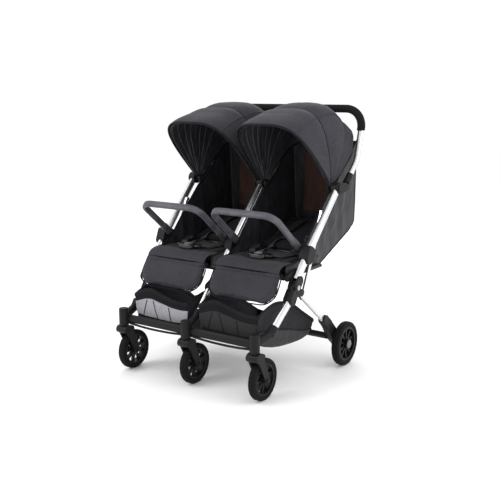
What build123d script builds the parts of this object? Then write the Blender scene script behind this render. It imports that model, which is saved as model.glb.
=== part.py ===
from build123d import *
import os
from math import sin, cos, radians, atan2, degrees, hypot, pi

os.makedirs("parts", exist_ok=True)

# Side-by-side folding twin stroller.
# Millimetres, +Z up, -Y is the direction of travel, x = 0 is the middle plane.
# The sections below are laid out from the front wheels' floor contact line (y = 0)
# and moved back by Y_SHIFT on export, so the origin is the middle of the footprint.

Y_SHIFT = 310.5          # front wheel contact line to the middle of the overall length

# ---------------------------------------------------------------- driving sizes
HX = 336.0               # canopy hub half spacing
KX = 330.0               # fold knuckle half spacing
WX = 297.0               # front caster half spacing
RX = 362.0               # rear wheel half spacing
FRONT_R, FRONT_TYRE_W = 75.0, 28.0
REAR_R, REAR_TYRE_W = 86.0, 31.0
TRAIL = 50.0             # caster trail
HUB = (442.0, 694.0)     # canopy / handle hub axis (y, z)
P1 = (150.0, 375.0)      # main fold pivot
P2 = (183.0, 350.0)      # rear leg pivot
TUBE_LO = (190.0, 428.0) # lower end of the upper tubes
REAR_AXLE = (483.0, 86.0)
LEG_LO = (368.0, 204.0)  # lower end of the rear leg's silver tube
AXLE_BAR = (418.0, 126.0)
STRUT_A = (365.0, 615.0)
STRUT_B = (230.0, 316.0)
HANDLE_PIVOT = (500.0, 694.0)
HANDLE_BEND = (596.0, 783.0)
HANDLE_TOP = (648.0, 981.0)
HANDLE_R, GRIP_R = 11.0, 15.5
BUMPER_PIVOT = (232.0, 497.0)
BUMPER_FRONT = (62.0, 634.0)
SEAT_XC = 162.5          # middle of each seat
LEGREST_PIVOT = (112.0, 432.0)
RECLINE_PIVOT = (372.0, 445.0)
RECLINE_ANGLE = 19.0     # backrest slope at rest, degrees above level
RUN = 0.06               # running clearance on pins, radial


# ---------------------------------------------------------------- helpers
def hull_plate(circles, x0, x1):
    """Plate in the YZ plane: the hull of circles (y, z, r), from x0 to x1."""
    if len(circles) == 1:
        y, z, r = circles[0]
        return xcyl(x0, x1, y, z, r)
    edges = ShapeList()
    for y, z, r in circles:
        edges += (Pos(y, z) * Circle(r)).edges()
    sk = make_hull(edges)
    return extrude(Plane.YZ.offset(x0) * sk, amount=x1 - x0)


def poly_plate(pts, x0, x1, r=0.0):
    """Plate in the YZ plane from corner points (y, z), corners rounded by r."""
    line = Polyline(*[(y, z) for y, z in pts], close=True)
    sk = make_face(line)
    if r > 0:
        sk = fillet(sk.vertices(), r)
    return extrude(Plane.YZ.offset(x0) * sk, amount=x1 - x0)


def xcyl(x0, x1, y, z, r):
    return extrude(Plane.YZ.offset(x0) * (Pos(y, z) * Circle(r)), amount=x1 - x0)


def zcyl(x, y, z0, z1, r):
    return Pos(x, y, z0) * Cylinder(r, z1 - z0, align=(Align.CENTER, Align.CENTER, Align.MIN))


def frame_between(p, q):
    """Plane at p whose normal runs to q and whose local x lies nearest to +X."""
    d = Vector(*q) - Vector(*p)
    n = d.normalized()
    xd = Vector(1, 0, 0) - n * n.X
    return Plane(origin=p, x_dir=xd.normalized(), z_dir=n), d.length


def oval_bar(p, q, wx, h, wall=0.0):
    """Bar with an elliptical section, wx along X and h across, hollow if wall > 0."""
    pl, ln = frame_between(p, q)
    sk = Ellipse(wx / 2, h / 2)
    if wall > 0:
        sk = sk - Ellipse(wx / 2 - wall, h / 2 - wall)
    return extrude(pl * sk, amount=ln)


def round_bar(p, q, r):
    pl, ln = frame_between(p, q)
    return extrude(pl * Circle(r), amount=ln)


def mirror_x(s):
    return mirror(s, about=Plane.YZ)


def group(*solids):
    out = []
    for s in solids:
        out += list(s.solids())
    return Compound(out)


def shift(s):
    return Pos(0, -Y_SHIFT, 0) * s


LO = [1e9] * 3
HI = [-1e9] * 3


def save(name, *solids):
    g = group(*solids) if len(solids) > 1 or len(solids[0].solids()) > 1 else solids[0].solids()[0]
    g = shift(g)
    bb = g.bounding_box()
    for i, (a, b) in enumerate(zip(tuple(bb.min), tuple(bb.max))):
        LO[i] = min(LO[i], a)
        HI[i] = max(HI[i], b)
    export_step(g, f"parts/{name}.step")


def lerp(p, q, t):
    return tuple(a + (b - a) * t for a, b in zip(p, q))


# ---------------------------------------------------------------- upper frame
# Upper tubes run from the fold knuckle to the canopy hub.
def tube_at(x_lo, x_hi, t):
    y = TUBE_LO[0] + (HUB[0] - TUBE_LO[0]) * t
    z = TUBE_LO[1] + (HUB[1] - TUBE_LO[1]) * t
    return (x_lo + (x_hi - x_lo) * t, y, z)


T_START = -0.112       # tube runs on into the bracket's socket
T_END = 0.955
SIDE_W, SIDE_H = 26.0, 31.0
MID_W, MID_H = 20.0, 25.0


def side_tube_solid(wall=0.0, grow=0.0, t0=T_START, t1=T_END):
    return oval_bar(tube_at(KX, HX, t0), tube_at(KX, HX, t1), SIDE_W + grow, SIDE_H + grow, wall)


def mid_tube_solid(wall=0.0, grow=0.0, t0=T_START, t1=T_END):
    return oval_bar(tube_at(0, 0, t0), tube_at(0, 0, t1), MID_W + grow, MID_H + grow, wall)


side_tube_full = side_tube_solid()
mid_tube_full = mid_tube_solid()

# Hubs: a round boss on the tube's end that carries the canopy bows' pin, with
# a rearward lug for the folding handle on the two outer ones.
PIN_CANOPY = 6.0
hub = hull_plate([(HUB[0], HUB[1], 23), (HANDLE_PIVOT[0], HANDLE_PIVOT[1], 13)], HX - 14, HX + 14)
slot = hull_plate([(HANDLE_PIVOT[0], HANDLE_PIVOT[1], 17.5), (HANDLE_PIVOT[0] + 30, HANDLE_PIVOT[1], 17.5)], HX - 6.6, HX + 6.6)
hub = hub - slot
hub = hub - side_tube_full
hub = hub + xcyl(HX - 6.6 - 0.2, HX + 6.8, HANDLE_PIVOT[0], HANDLE_PIVOT[1], 5.0)
hub = hub + xcyl(291, HX - 13.9, HUB[0], HUB[1], PIN_CANOPY)
hub = hub + xcyl(HX + 13.9, HX + 17.5, HUB[0], HUB[1], 15.0)
mid_hub = hull_plate([(HUB[0], HUB[1], 19)], -12, 12) - mid_tube_full
mid_hub = mid_hub + xcyl(-34, -11.9, HUB[0], HUB[1], PIN_CANOPY) + xcyl(11.9, 34, HUB[0], HUB[1], PIN_CANOPY)

# Fold brackets: clevis cheeks on the main fold pivot, solid above, socket for the tube.
d1 = (TUBE_LO[0] - P1[0], TUBE_LO[1] - P1[1])
L1 = hypot(*d1)
u1 = (d1[0] / L1, d1[1] / L1)


def along1(s, off=0.0):
    return (P1[0] + u1[0] * s - u1[1] * off, P1[1] + u1[1] * s + u1[0] * off)


def fold_bracket(xc, half, tongue, ear=False):
    top = along1(L1 - 40)
    b = hull_plate([(P1[0], P1[1], 18), (top[0], top[1], 18)], xc - half, xc + half)
    c = along1(0)
    b = b - hull_plate([(c[0], c[1], 38), (c[0] - 30, c[1] - 10, 38)], xc - tongue, xc + tongue)
    return b


KNUCKLE_HALF, TONGUE_HALF = 17.0, 9.0
MID_HALF, MID_TONGUE = 14.0, 7.5
PIN_R = 5.0
side_bracket = fold_bracket(KX, KNUCKLE_HALF, TONGUE_HALF) - side_tube_full
ear = hull_plate([(128, 408, 11), (178, 424, 12)], 311, 318.5)
side_bracket = side_bracket + ear - side_tube_full - xcyl(KX - 17.1, KX + 17.1, P1[0], P1[1], PIN_R)
mid_bracket = fold_bracket(0, MID_HALF, MID_TONGUE) - mid_tube_full - xcyl(-15, 15, P1[0], P1[1], PIN_R)

# Pivot pins: three on the main fold axis, two for the struts' top eyes.
side_pin = xcyl(KX - KNUCKLE_HALF, KX + KNUCKLE_HALF + 1.5, P1[0], P1[1], PIN_R) + xcyl(KX + KNUCKLE_HALF, KX + KNUCKLE_HALF + 2.5, P1[0], P1[1], 9)
mid_pin = xcyl(-MID_HALF, MID_HALF, P1[0], P1[1], PIN_R)
strut_pin = xcyl(310.5, 322.5, STRUT_A[0], STRUT_A[1], 4.0) - side_tube_full
strut_pin = strut_pin + xcyl(309.0, 311.6, STRUT_A[0], STRUT_A[1], 7.0)

# Bumper sockets: sleeves clamped on the tubes, with the bumper's pivot pins.
def bumper_socket_side():
    s = hull_plate([(224, 464, 19), (242, 483, 19), (BUMPER_PIVOT[0], BUMPER_PIVOT[1], 14)], 313, 351)
    s = s - side_tube_full
    s = s + xcyl(291, 313.2, BUMPER_PIVOT[0], BUMPER_PIVOT[1], 5.0)
    return s


def bumper_socket_mid():
    s = hull_plate([(224, 464, 16), (242, 483, 16), (BUMPER_PIVOT[0], BUMPER_PIVOT[1], 13)], -15, 15)
    s = s - mid_tube_full
    s = s + xcyl(-36, -14.8, BUMPER_PIVOT[0], BUMPER_PIVOT[1], 5.0) + xcyl(14.8, 36, BUMPER_PIVOT[0], BUMPER_PIVOT[1], 5.0)
    return s


# Seat frame: two cross tubes between two side rails.
RAIL_X, RAIL_Z, RAIL_R = 304.0, 408.0, 7.0
rail = Plane(origin=(RAIL_X, 119, RAIL_Z), z_dir=(0, 1, 0)) * Circle(RAIL_R)
rail = extrude(rail, amount=264)
front_bar = xcyl(-RAIL_X + RAIL_R, RAIL_X - RAIL_R, 130, RAIL_Z, 9)
rear_bar = xcyl(-RAIL_X + RAIL_R, RAIL_X - RAIL_R, 372, RAIL_Z, 9)

# Upper tubes, hollow.
upper_right = side_tube_solid(wall=2.0)
upper_mid = mid_tube_solid(wall=1.8)

# Seat shells: the fabric tub of each seat, open above and in front.
SHELL_HALF, SHELL_T = 141.0, 3.0
shell_outer = [(137, 420), (376, 420), (664, 524), (660, 861), (455, 672), (430, 668), (262, 495), (215, 452), (137, 448)]
shell_inner = [(60, 423), (375.5, 423), (660.9, 526), (657, 950), (60, 950)]


def seat_shell(xc):
    s = poly_plate(shell_outer, xc - SHELL_HALF, xc + SHELL_HALF)
    s = s - poly_plate(shell_inner, xc - SHELL_HALF + SHELL_T, xc + SHELL_HALF - SHELL_T)
    # round the upper rear corners so that the folding canopy passes over them
    ring = Rectangle(400, 420, align=(Align.CENTER, Align.MIN)) - can_profile(140.5, 316.5, 10.0, 114.0)
    ring = ring - Rectangle(402, 300, align=(Align.CENTER, Align.CENTER))
    trim = revolve(hub_plane(xc, 5.0) * ring, axis=Axis((xc, HUB[0], HUB[1]), (1, 0, 0)), revolution_arc=38.0)
    return (s - trim).solids().sort_by(SortBy.VOLUME)[-1]


# Seat pads.
def seat_pad(xc):
    s = poly_plate([(139, 424), (352, 424), (352, 452), (330, 453), (139, 453)], xc - 134, xc + 134)
    return s


# Canopy: three fabric segments per seat that turn about the hub axis and nest.
CAN_T = 3.0


def can_profile(a, R, r0=24.0, corner=118.0):
    """Upside-down U outline in local (x, r), as a face down to r0."""
    sk = Rectangle(2 * a, R, align=(Align.CENTER, Align.MIN))
    vs = sk.vertices().sort_by(Axis.Y)[-2:]
    sk = fillet(vs, corner)
    return sk - Pos(0, 0) * Rectangle(2 * a + 10, 2 * r0, align=(Align.CENTER, Align.CENTER))


def hub_plane(xc, phi):
    """Plane through the hub axis; local x is +X and local y points out at phi."""
    f = radians(phi)
    ydir = Vector(0, cos(f), sin(f))
    xdir = Vector(1, 0, 0)
    return Plane(origin=(xc, HUB[0], HUB[1]), x_dir=xdir, z_dir=xdir.cross(ydir))


def can_segment(xc, a, R, phi0, phi1):
    sk = can_profile(a, R) - can_profile(a - CAN_T, R - CAN_T, 10.0, 115.0)
    f = hub_plane(xc, phi0) * sk
    ax = Axis((xc, HUB[0], HUB[1]), (1, 0, 0))
    return revolve(f, axis=ax, revolution_arc=phi1 - phi0)


def can_bow(xc, a, R, phi, t=3.0, w=7.0):
    sk = can_profile(a, R, 8.0) - can_profile(a - t, R - t, 4.0, 115.0)
    pl = hub_plane(xc, phi)
    s = extrude(pl * sk, amount=w / 2, both=True)
    for x0 in (xc - a, xc + a - t):
        s = s + xcyl(x0, x0 + t, HUB[0], HUB[1], 16)
    return s - xcyl(xc - a - 1, xc + a + 1, HUB[0], HUB[1], PIN_CANOPY + RUN)


FRONT_PHI, MID_PHI, REAR_PHI, LOW_PHI = 137.0, 101.0, 50.0, 38.6


# ---------------------------------------------------------------- lower front frame
def turned(deg):
    """Direction of the upper bracket as seen from the lug, the fold turned by deg."""
    a = atan2(u1[1], u1[0]) - radians(deg)
    return (cos(a), sin(a))


def bracket_room(x0, x1, reach=34.0, r=19.8):
    """Space that the bracket's cheeks sweep over the fold."""
    out = None
    for deg in (-1, 6, 12, 18, 24, 30, 37):
        d = turned(deg)
        h = hull_plate([(P1[0], P1[1], r), (P1[0] + d[0] * reach, P1[1] + d[1] * reach, r)], x0, x1)
        out = h if out is None else out + h
    return out


def leg_room(x0, x1):
    """Space that the rear leg's end sweeps over the fold."""
    out = None
    a0 = atan2(LEG_LO[1] - P2[1], LEG_LO[0] - P2[0])
    for deg in (-1, 7, 15, 23, 31, 39, 47, 55, 64):
        a = a0 - radians(deg)
        h = hull_plate([(P2[0], P2[1], 15.5), (P2[0] + 60 * cos(a), P2[1] + 60 * sin(a), 15.5)], x0, x1)
        out = h if out is None else out + h
    return out


def fold_lug(xc, half, tongue, foot, foot_r):
    """Tongue on the fold pivot, widening to the leg's socket."""
    t = hull_plate([(P1[0], P1[1], 18), (P1[0] - 8, P1[1] - 11, 18)], xc - tongue + 0.5, xc + tongue - 0.5)
    body = hull_plate([(P1[0] - 14, P1[1] - 18, 16), (foot[0], foot[1], foot_r)], xc - half, xc + half)
    body = body - bracket_room(xc - half - 1, xc - tongue + 0.5) - bracket_room(xc + tongue - 0.5, xc + half + 1)
    return t + body


SIDE_FOOT = (113.0, 326.0)
MID_FOOT = (92.0, 334.0)
# Side leg: from the lug down to the caster housing, inclined slightly inwards.
leg_top = (KX - 1, 113.0, 326.0)
leg_bot = (312.0, 30.0, 236.0)
side_leg_full = oval_bar(leg_top, leg_bot, 24, 28)
side_leg = oval_bar(leg_top, leg_bot, 24, 28, wall=2.0)
mid_top = (0, 88.0, 331.0)
mid_bot = (0, 14.0, 250.0)
mid_leg_full = oval_bar(mid_top, mid_bot, 20, 24)
mid_leg = oval_bar(mid_top, mid_bot, 20, 24, wall=1.8)

side_lug = fold_lug(KX, KNUCKLE_HALF, TONGUE_HALF, (120, 334), 18)
lobe = hull_plate([(P1[0] - 12, P1[1] - 20, 12), (P2[0], P2[1], 13)], KX - 14, KX + 14)
lobe = lobe - leg_room(KX - 8.2, KX + 8.2)
lobe = lobe - bracket_room(KX - 15, KX - TONGUE_HALF + 0.5) - bracket_room(KX + TONGUE_HALF - 0.5, KX + 15)
side_lug = side_lug + lobe
side_lug = side_lug - xcyl(KX - 20, KX + 20, P1[0], P1[1], PIN_R + RUN) - side_leg_full
side_lug = side_lug + xcyl(KX - 9, KX + 9, P2[0], P2[1], 4.5)
mid_lug = fold_lug(0, MID_HALF, MID_TONGUE, (98, 340), 15)
mid_lug = mid_lug - xcyl(-20, 20, P1[0], P1[1], PIN_R + RUN) - mid_leg_full


# Caster housings: an upright barrel with a blind bore for the fork's stem and an
# arm back to the leg.
STEM_R = 6.0


def housing(xw, foot, leg_full):
    b = zcyl(xw, -TRAIL, 183, 249, 18)
    b = fillet(b.edges().filter_by(GeomType.CIRCLE).sort_by(Axis.Z)[-1], 5)
    top, w, h = (leg_top, 30, 34) if foot[0] > 1 else (mid_top, 26, 30)
    up = lerp(foot, top, 0.20)
    low = lerp(foot, top, -0.04)
    arm = oval_bar(low, up, w, h) + Pos(*low) * Sphere(h / 2 - 0.6) + oval_bar(low, (xw, -TRAIL + 4, 214), w - 1, h - 2)
    s = b + arm
    s = s - leg_full
    return s - zcyl(xw, -TRAIL, 180, 228, STEM_R + RUN)


side_housing = housing(WX, leg_bot, side_leg_full)
mid_housing = housing(0, mid_bot, mid_leg_full)


def cross_beam():
    pl = Plane(origin=(14.0, -36, 207), x_dir=(0, 1, 0), z_dir=(1, 0, 0))
    s = extrude(pl * SlotOverall(31, 20, rotation=90), amount=WX - 14.0 - 13.0)
    # bowed rib under the beam
    rib = [(12, 190), (80, 184), (156, 182), (230, 184), (288, 190)]
    line = Spline(*[(x, -36, z) for x, z in rib])
    s = s + sweep(Plane(origin=line @ 0, z_dir=line % 0) * Circle(4.2), path=line)
    return s - mid_housing - side_housing


beam = cross_beam()


# ---------------------------------------------------------------- casters
def fork(xw):
    crown = hull_plate([(-TRAIL, 167, 14.5), (-TRAIL - 6, 166, 14.5), (-TRAIL + 18, 165, 14)], xw - 23, xw + 23)
    arm_l = hull_plate([(-TRAIL + 8, 162, 17), (-2, 78, 13)], xw - 23, xw - 17)
    arm_r = hull_plate([(-TRAIL + 8, 162, 17), (-2, 78, 13)], xw + 17, xw + 23)
    s = crown + arm_l + arm_r
    s = s - xcyl(xw - 16.9, xw + 16.9, 0, FRONT_R, FRONT_R + 2.5)
    s = s + xcyl(xw - 25.5, xw + 25.5, 0, FRONT_R, 4.0) + xcyl(xw - 26, xw - 22.9, 0, FRONT_R, 8) + xcyl(xw + 22.9, xw + 26, 0, FRONT_R, 8)
    s = s + zcyl(xw, -TRAIL, 175, 225, STEM_R)
    return s


def rim(xc, y, z, hub_r, bore, hub_half, r_in, r_out, half, n, spoke_w, cap=None):
    s = xcyl(xc - hub_half, xc + hub_half, y, z, hub_r)
    s = s + (xcyl(xc - half, xc + half, y, z, r_out) - xcyl(xc - half - 1, xc + half + 1, y, z, r_in))
    for i in range(n):
        a = 2 * pi * (i + 0.5) / n
        p = (y + cos(a) * (hub_r - 3), z + sin(a) * (hub_r - 3))
        q = (y + cos(a) * (r_in + 1), z + sin(a) * (r_in + 1))
        s = s + hull_plate([p + (spoke_w / 2 + 1,), q + (spoke_w / 2,)], xc - half * 0.55, xc + half * 0.55)
    s = s - (xcyl(xc - half - 2, xc + half + 2, y, z, r_out + 20) - xcyl(xc - half - 3, xc + half + 3, y, z, r_out))
    return s - xcyl(xc - hub_half - 1, xc + hub_half + 1, y, z, bore)


def tyre(xc, y, z, r_in, r_out, half):
    t = xcyl(xc - half, xc + half, y, z, r_out)
    t = fillet(t.edges().filter_by(GeomType.CIRCLE), half * 0.62)
    return t - xcyl(xc - half - 1, xc + half + 1, y, z, r_in)


# ---------------------------------------------------------------- rear frame
def rear_leg():
    d = (LEG_LO[0] - P2[0], LEG_LO[1] - P2[1])
    n = hypot(*d)
    u = (d[0] / n, d[1] / n)
    start = (KX, P2[0] + u[0] * 21, P2[1] + u[1] * 21)
    end = (KX, LEG_LO[0] + u[0] * 12, LEG_LO[1] + u[1] * 12)
    pl, ln = frame_between(start, end)
    body = extrude(pl * SlotOverall(26, 15, rotation=90), amount=ln)
    eye = hull_plate([(P2[0], P2[1], 12.5), (P2[0] + u[0] * 26, P2[1] + u[1] * 26, 12)], KX - 6.5, KX + 6.5)
    s = body + eye
    s = s - xcyl(KX - 20, KX + 20, P2[0], P2[1], 4.5 + RUN)
    s = s + xcyl(310.0, KX - 7, STRUT_B[0], STRUT_B[1], 4.0) + xcyl(308.5, 311.4, STRUT_B[0], STRUT_B[1], 7.0)
    return s


leg_r = rear_leg()
leg_solid_for_cut = oval_bar((KX, LEG_LO[0] - 30, LEG_LO[1] + 23.7), (KX, LEG_LO[0] + 10, LEG_LO[1] - 7.9), 1, 1)


def rear_knuckle():
    s = hull_plate([(366, 207, 16.5), (396, 180, 18)], KX - 13, KX + 13)
    s = s + hull_plate([(392, 182, 18), (440, 128, 23), (REAR_AXLE[0] - 6, REAR_AXLE[1] + 6, 19)], KX - 12, KX + 13)
    s = s - leg_r
    s = s + xcyl(KX + 12.9, RX + 17.0, REAR_AXLE[0], REAR_AXLE[1], 6.0)
    s = s + xcyl(RX + 16.6, RX + 19.5, REAR_AXLE[0], REAR_AXLE[1], 11.0)
    return s


knuckle_r = rear_knuckle()
axle_pl = Plane(origin=(-(KX - 12), AXLE_BAR[0], AXLE_BAR[1]), x_dir=(0, 1, 0), z_dir=(1, 0, 0))
axle_bar = extrude(axle_pl * SlotOverall(30, 20, rotation=-48), amount=2 * (KX - 12)) - knuckle_r - mirror_x(knuckle_r)
# Brake lugs and the pedal's pin stand on the back of the axle bar.
BRAKE = (446.0, 128.0)
lug_a = hull_plate([(AXLE_BAR[0], AXLE_BAR[1], 8), (BRAKE[0], BRAKE[1], 8)], -34, -29)
lug_b = hull_plate([(AXLE_BAR[0], AXLE_BAR[1], 8), (BRAKE[0], BRAKE[1], 8)], 29, 34)
axle_bar = axle_bar + lug_a + lug_b + xcyl(-29.5, 29.5, BRAKE[0], BRAKE[1], 3.5)
pedal = hull_plate([(BRAKE[0], BRAKE[1], 7), (BRAKE[0] + 12, BRAKE[1] - 1, 6)], -28, 28)
pedal = pedal + Pos(0, BRAKE[0] + 34, BRAKE[1] + 2) * Box(70, 48, 8)
pedal = pedal - xcyl(-40, 40, BRAKE[0], BRAKE[1], 3.5 + RUN)


def strut():
    s = hull_plate([(STRUT_A[0], STRUT_A[1], 7.5), (STRUT_B[0], STRUT_B[1], 8.5)], 312.2, 319.2)
    s = s - xcyl(300, 330, STRUT_A[0], STRUT_A[1], 4.0 + RUN)
    # open eye round the rear leg's pin: the linkage is opened here
    return s - xcyl(300, 330, STRUT_B[0], STRUT_B[1], 6.6)


# ---------------------------------------------------------------- handle
dh = (HANDLE_BEND[0] - HANDLE_PIVOT[0], HANDLE_BEND[1] - HANDLE_PIVOT[1])
nh = hypot(*dh)
uh = (dh[0] / nh, dh[1] / nh)
h_start = (HANDLE_PIVOT[0] + uh[0] * 24, HANDLE_PIVOT[1] + uh[1] * 24)
GRIP_CORNER = 76.0
path = FilletPolyline(
    (HX, h_start[0], h_start[1]), (HX, HANDLE_BEND[0], HANDLE_BEND[1]), (HX, HANDLE_TOP[0], HANDLE_TOP[1]),
    (-HX, HANDLE_TOP[0], HANDLE_TOP[1]), (-HX, HANDLE_BEND[0], HANDLE_BEND[1]), (-HX, h_start[0], h_start[1]),
    radius=GRIP_CORNER)


def pipe(r):
    return sweep(Plane(origin=path @ 0, z_dir=path % 0) * Circle(r), path=path)


tube_full = pipe(HANDLE_R)
grip = pipe(GRIP_R) - tube_full
grip = grip - Pos(0, 600, 450) * Box(1000, 1000, 2 * (900 - 450))
handle_tube = tube_full - pipe(HANDLE_R - 1.8)


def handle_end(s):
    x = s * HX
    e = hull_plate([(HANDLE_PIVOT[0], HANDLE_PIVOT[1], 12.5), (h_start[0], h_start[1], 12.5)], x - 6, x + 6)
    a = (x, HANDLE_PIVOT[0] + uh[0] * 19, HANDLE_PIVOT[1] + uh[1] * 19)
    b = (x, HANDLE_PIVOT[0] + uh[0] * 62, HANDLE_PIVOT[1] + uh[1] * 62)
    e = e + round_bar(a, b, 13.5)
    e = e - round_bar((x,) + h_start, (x, HANDLE_BEND[0], HANDLE_BEND[1]), HANDLE_R)
    return e - xcyl(x - 20, x + 20, HANDLE_PIVOT[0], HANDLE_PIVOT[1], 5.0 + RUN)


# Fold release: a housing clipped under the grip with a slide button.
release_housing = Pos(0, HANDLE_TOP[0] - 3, HANDLE_TOP[1] - 17) * Box(74, 30, 20)
release_housing = fillet(release_housing.edges().filter_by(Axis.Z), 8)
release_housing = release_housing - pipe(GRIP_R)
release_housing = release_housing - Pos(0, HANDLE_TOP[0] - 3, HANDLE_TOP[1] - 24) * Box(30.4, 16.4, 18)
button = Pos(0, HANDLE_TOP[0] - 3, HANDLE_TOP[1] - 26.5) * Box(30, 16, 7)
button = fillet(button.edges().filter_by(Axis.Z), 3)

# ---------------------------------------------------------------- soft parts and trim
# Backrest boards, at rest on the reclined floor of the seat shell.
ca, sa = cos(radians(RECLINE_ANGLE)), sin(radians(RECLINE_ANGLE))


def on_back(s, n):
    """(y, z) of a point s along the backrest and n off its face."""
    return (RECLINE_PIVOT[0] + ca * s - sa * n, RECLINE_PIVOT[1] + sa * s + ca * n)


def backrest(xc):
    pts = [on_back(2, -13), on_back(276, -13), on_back(276, 11), on_back(2, 11)]
    b = poly_plate(pts, xc - 133, xc + 133, 5)
    b = b + xcyl(xc - 133, xc + 133, RECLINE_PIVOT[0], RECLINE_PIVOT[1], 13)
    b = b - xcyl(xc - 134, xc + 134, RECLINE_PIVOT[0], RECLINE_PIVOT[1], 4.56)
    return b


def recline_rod(xc):
    return xcyl(xc - 138, xc + 138, RECLINE_PIVOT[0], RECLINE_PIVOT[1], 4.5)


def harness(xc):
    out = []
    for dx in (-62, 62):
        pts = [on_back(70, 11.4), on_back(250, 11.4), on_back(250, 19), on_back(70, 19)]
        out.append(poly_plate(pts, xc + dx - 22, xc + dx + 22))
    return out


# Crotch strap and buckle lying on the seat pad.
def buckle(xc):
    strap = poly_plate([(200, 453.4), (310, 453.4), (310, 457), (200, 457)], xc - 18, xc + 18)
    body = poly_plate([(150, 453.4), (200, 453.4), (200, 476), (150, 474)], xc - 34, xc + 34, 3)
    pocket = Pos(xc, 176, 475) * Box(24.6, 24.6, 20)
    return strap + (body - pocket)


def buckle_button(xc):
    b = Pos(xc, 176, 473.0) * Box(24, 24, 8)
    return fillet(b.edges().filter_by(Axis.Z), 4)


# Leg rests: pads hung from the front seat tube.
LR = (45.0 - LEGREST_PIVOT[0], 325.0 - LEGREST_PIVOT[1])
nl = hypot(*LR)
ul = (LR[0] / nl, LR[1] / nl)


def on_leg(s, n):
    """s down the leg rest from its hinge, n towards the front face."""
    return (LEGREST_PIVOT[0] + ul[0] * s + ul[1] * n, LEGREST_PIVOT[1] + ul[1] * s - ul[0] * n)


def legrest(xc):
    pts = [on_leg(20, -11), on_leg(126, -11), on_leg(126, 11), on_leg(20, 11)]
    b = poly_plate(pts, xc - 138, xc + 138)
    hinge = hull_plate([(LEGREST_PIVOT[0], LEGREST_PIVOT[1], 9), on_leg(24, 0) + (9,)], xc - 60, xc + 60)
    b = b + hinge
    return b - xcyl(xc - 140, xc + 140, LEGREST_PIVOT[0], LEGREST_PIVOT[1], 4.0 + RUN)


def legrest_rod(xc):
    rod = xcyl(xc - 66, xc + 66, LEGREST_PIVOT[0], LEGREST_PIVOT[1], 4.0)
    for s in (-1, 1):
        x0 = xc + s * 63 - 2.5
        rod = rod + hull_plate([(LEGREST_PIVOT[0], LEGREST_PIVOT[1], 7), (130, RAIL_Z + 4, 7)], x0, x0 + 5)
    return rod


# Bumper bars: a U in a plane that rises forward from its two pivots.
DB = (BUMPER_FRONT[0] - BUMPER_PIVOT[0], BUMPER_FRONT[1] - BUMPER_PIVOT[1])
nb = hypot(*DB)
ub = (DB[0] / nb, DB[1] / nb)


def bumper(xc, half):
    ydir = Vector(0, ub[0], ub[1])
    xdir = Vector(1, 0, 0)
    pl = Plane(origin=(xc, BUMPER_PIVOT[0], BUMPER_PIVOT[1]), x_dir=xdir, z_dir=xdir.cross(ydir))
    outer = Rectangle(2 * half, nb + 8, align=(Align.CENTER, Align.MIN))
    outer = fillet(outer.vertices().sort_by(Axis.Y)[-2:], 58)
    inner = Pos(0, -10) * Rectangle(2 * (half - 16), nb + 2, align=(Align.CENTER, Align.MIN))
    inner = fillet(inner.vertices().sort_by(Axis.Y)[-2:], 42)
    s = extrude(pl * (outer - inner), amount=13, both=True)
    for x0 in (xc - half, xc + half - 16):
        s = s + xcyl(x0, x0 + 16, BUMPER_PIVOT[0], BUMPER_PIVOT[1], 13)
    return s - xcyl(xc - half - 1, xc + half + 1, BUMPER_PIVOT[0], BUMPER_PIVOT[1], 5.0 + RUN)


# Storage baskets: one open tub each side of the middle leg.
b_out = [(-4, 292), (60, 312), (122, 316), (213, 290), (379, 190), (364, 134), (298, 128), (173, 139), (78, 161), (-2, 197)]
b_in = [(-1.3, 500), (376, 500), (376, 190), (361.8, 136.8), (298, 130.6), (173.5, 141.6), (79, 163.6), (0.7, 199)]


def basket(x0, x1):
    s = poly_plate(b_out, x0, x1)
    return s - poly_plate(b_in, x0 + 2.6, x1 - 2.6)


# ---------------------------------------------------------------- write the nodes
save("upper_tube_right", upper_right)
save("upper_tube_left", mirror_x(upper_right))
save("upper_tube_centre", upper_mid)
save("frame_hubs", hub, mid_hub, mirror_x(hub))
save("fold_brackets", side_bracket, mid_bracket, mirror_x(side_bracket))
save("frame_pins", side_pin, mid_pin, strut_pin, mirror_x(side_pin), mirror_x(strut_pin))
bs = bumper_socket_side()
save("bumper_sockets", bs, bumper_socket_mid(), mirror_x(bs))
rods = [recline_rod(SEAT_XC), recline_rod(-SEAT_XC), legrest_rod(SEAT_XC) - front_bar, legrest_rod(-SEAT_XC) - front_bar]
save("seat_frame", front_bar, rear_bar, rail, mirror_x(rail), *rods)
save("seat_shell_right", seat_shell(SEAT_XC) - rods[0])
save("seat_shell_left", seat_shell(-SEAT_XC) - rods[1])
save("seat_pads", seat_pad(SEAT_XC), seat_pad(-SEAT_XC))
save("crotch_buckles", buckle(SEAT_XC), buckle(-SEAT_XC))
save("buckle_button_right", buckle_button(SEAT_XC))
save("buckle_button_left", buckle_button(-SEAT_XC))
save("canopy_rear_panels", can_segment(SEAT_XC, 149, 325, LOW_PHI, REAR_PHI + 1), can_segment(-SEAT_XC, 149, 325, LOW_PHI, REAR_PHI + 1))
for side, sx in (("right", 1), ("left", -1)):
    xc = sx * SEAT_XC
    save(f"canopy_mid_{side}", can_segment(xc, 145, 321, REAR_PHI, MID_PHI + 1))
    save(f"canopy_front_{side}", can_segment(xc, 141, 317, MID_PHI, FRONT_PHI))
    save(f"canopy_bow_mid_{side}", can_bow(xc, 137.2, 312.5, MID_PHI))
    save(f"canopy_bow_front_{side}", can_bow(xc, 133, 308, FRONT_PHI - 1.5))
    save(f"backrest_{side}", backrest(xc))
    save(f"shoulder_harness_{side}", *harness(xc))
    save(f"leg_rest_{side}", legrest(xc))
    save(f"bumper_{side}", bumper(xc, 143.5))

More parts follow.
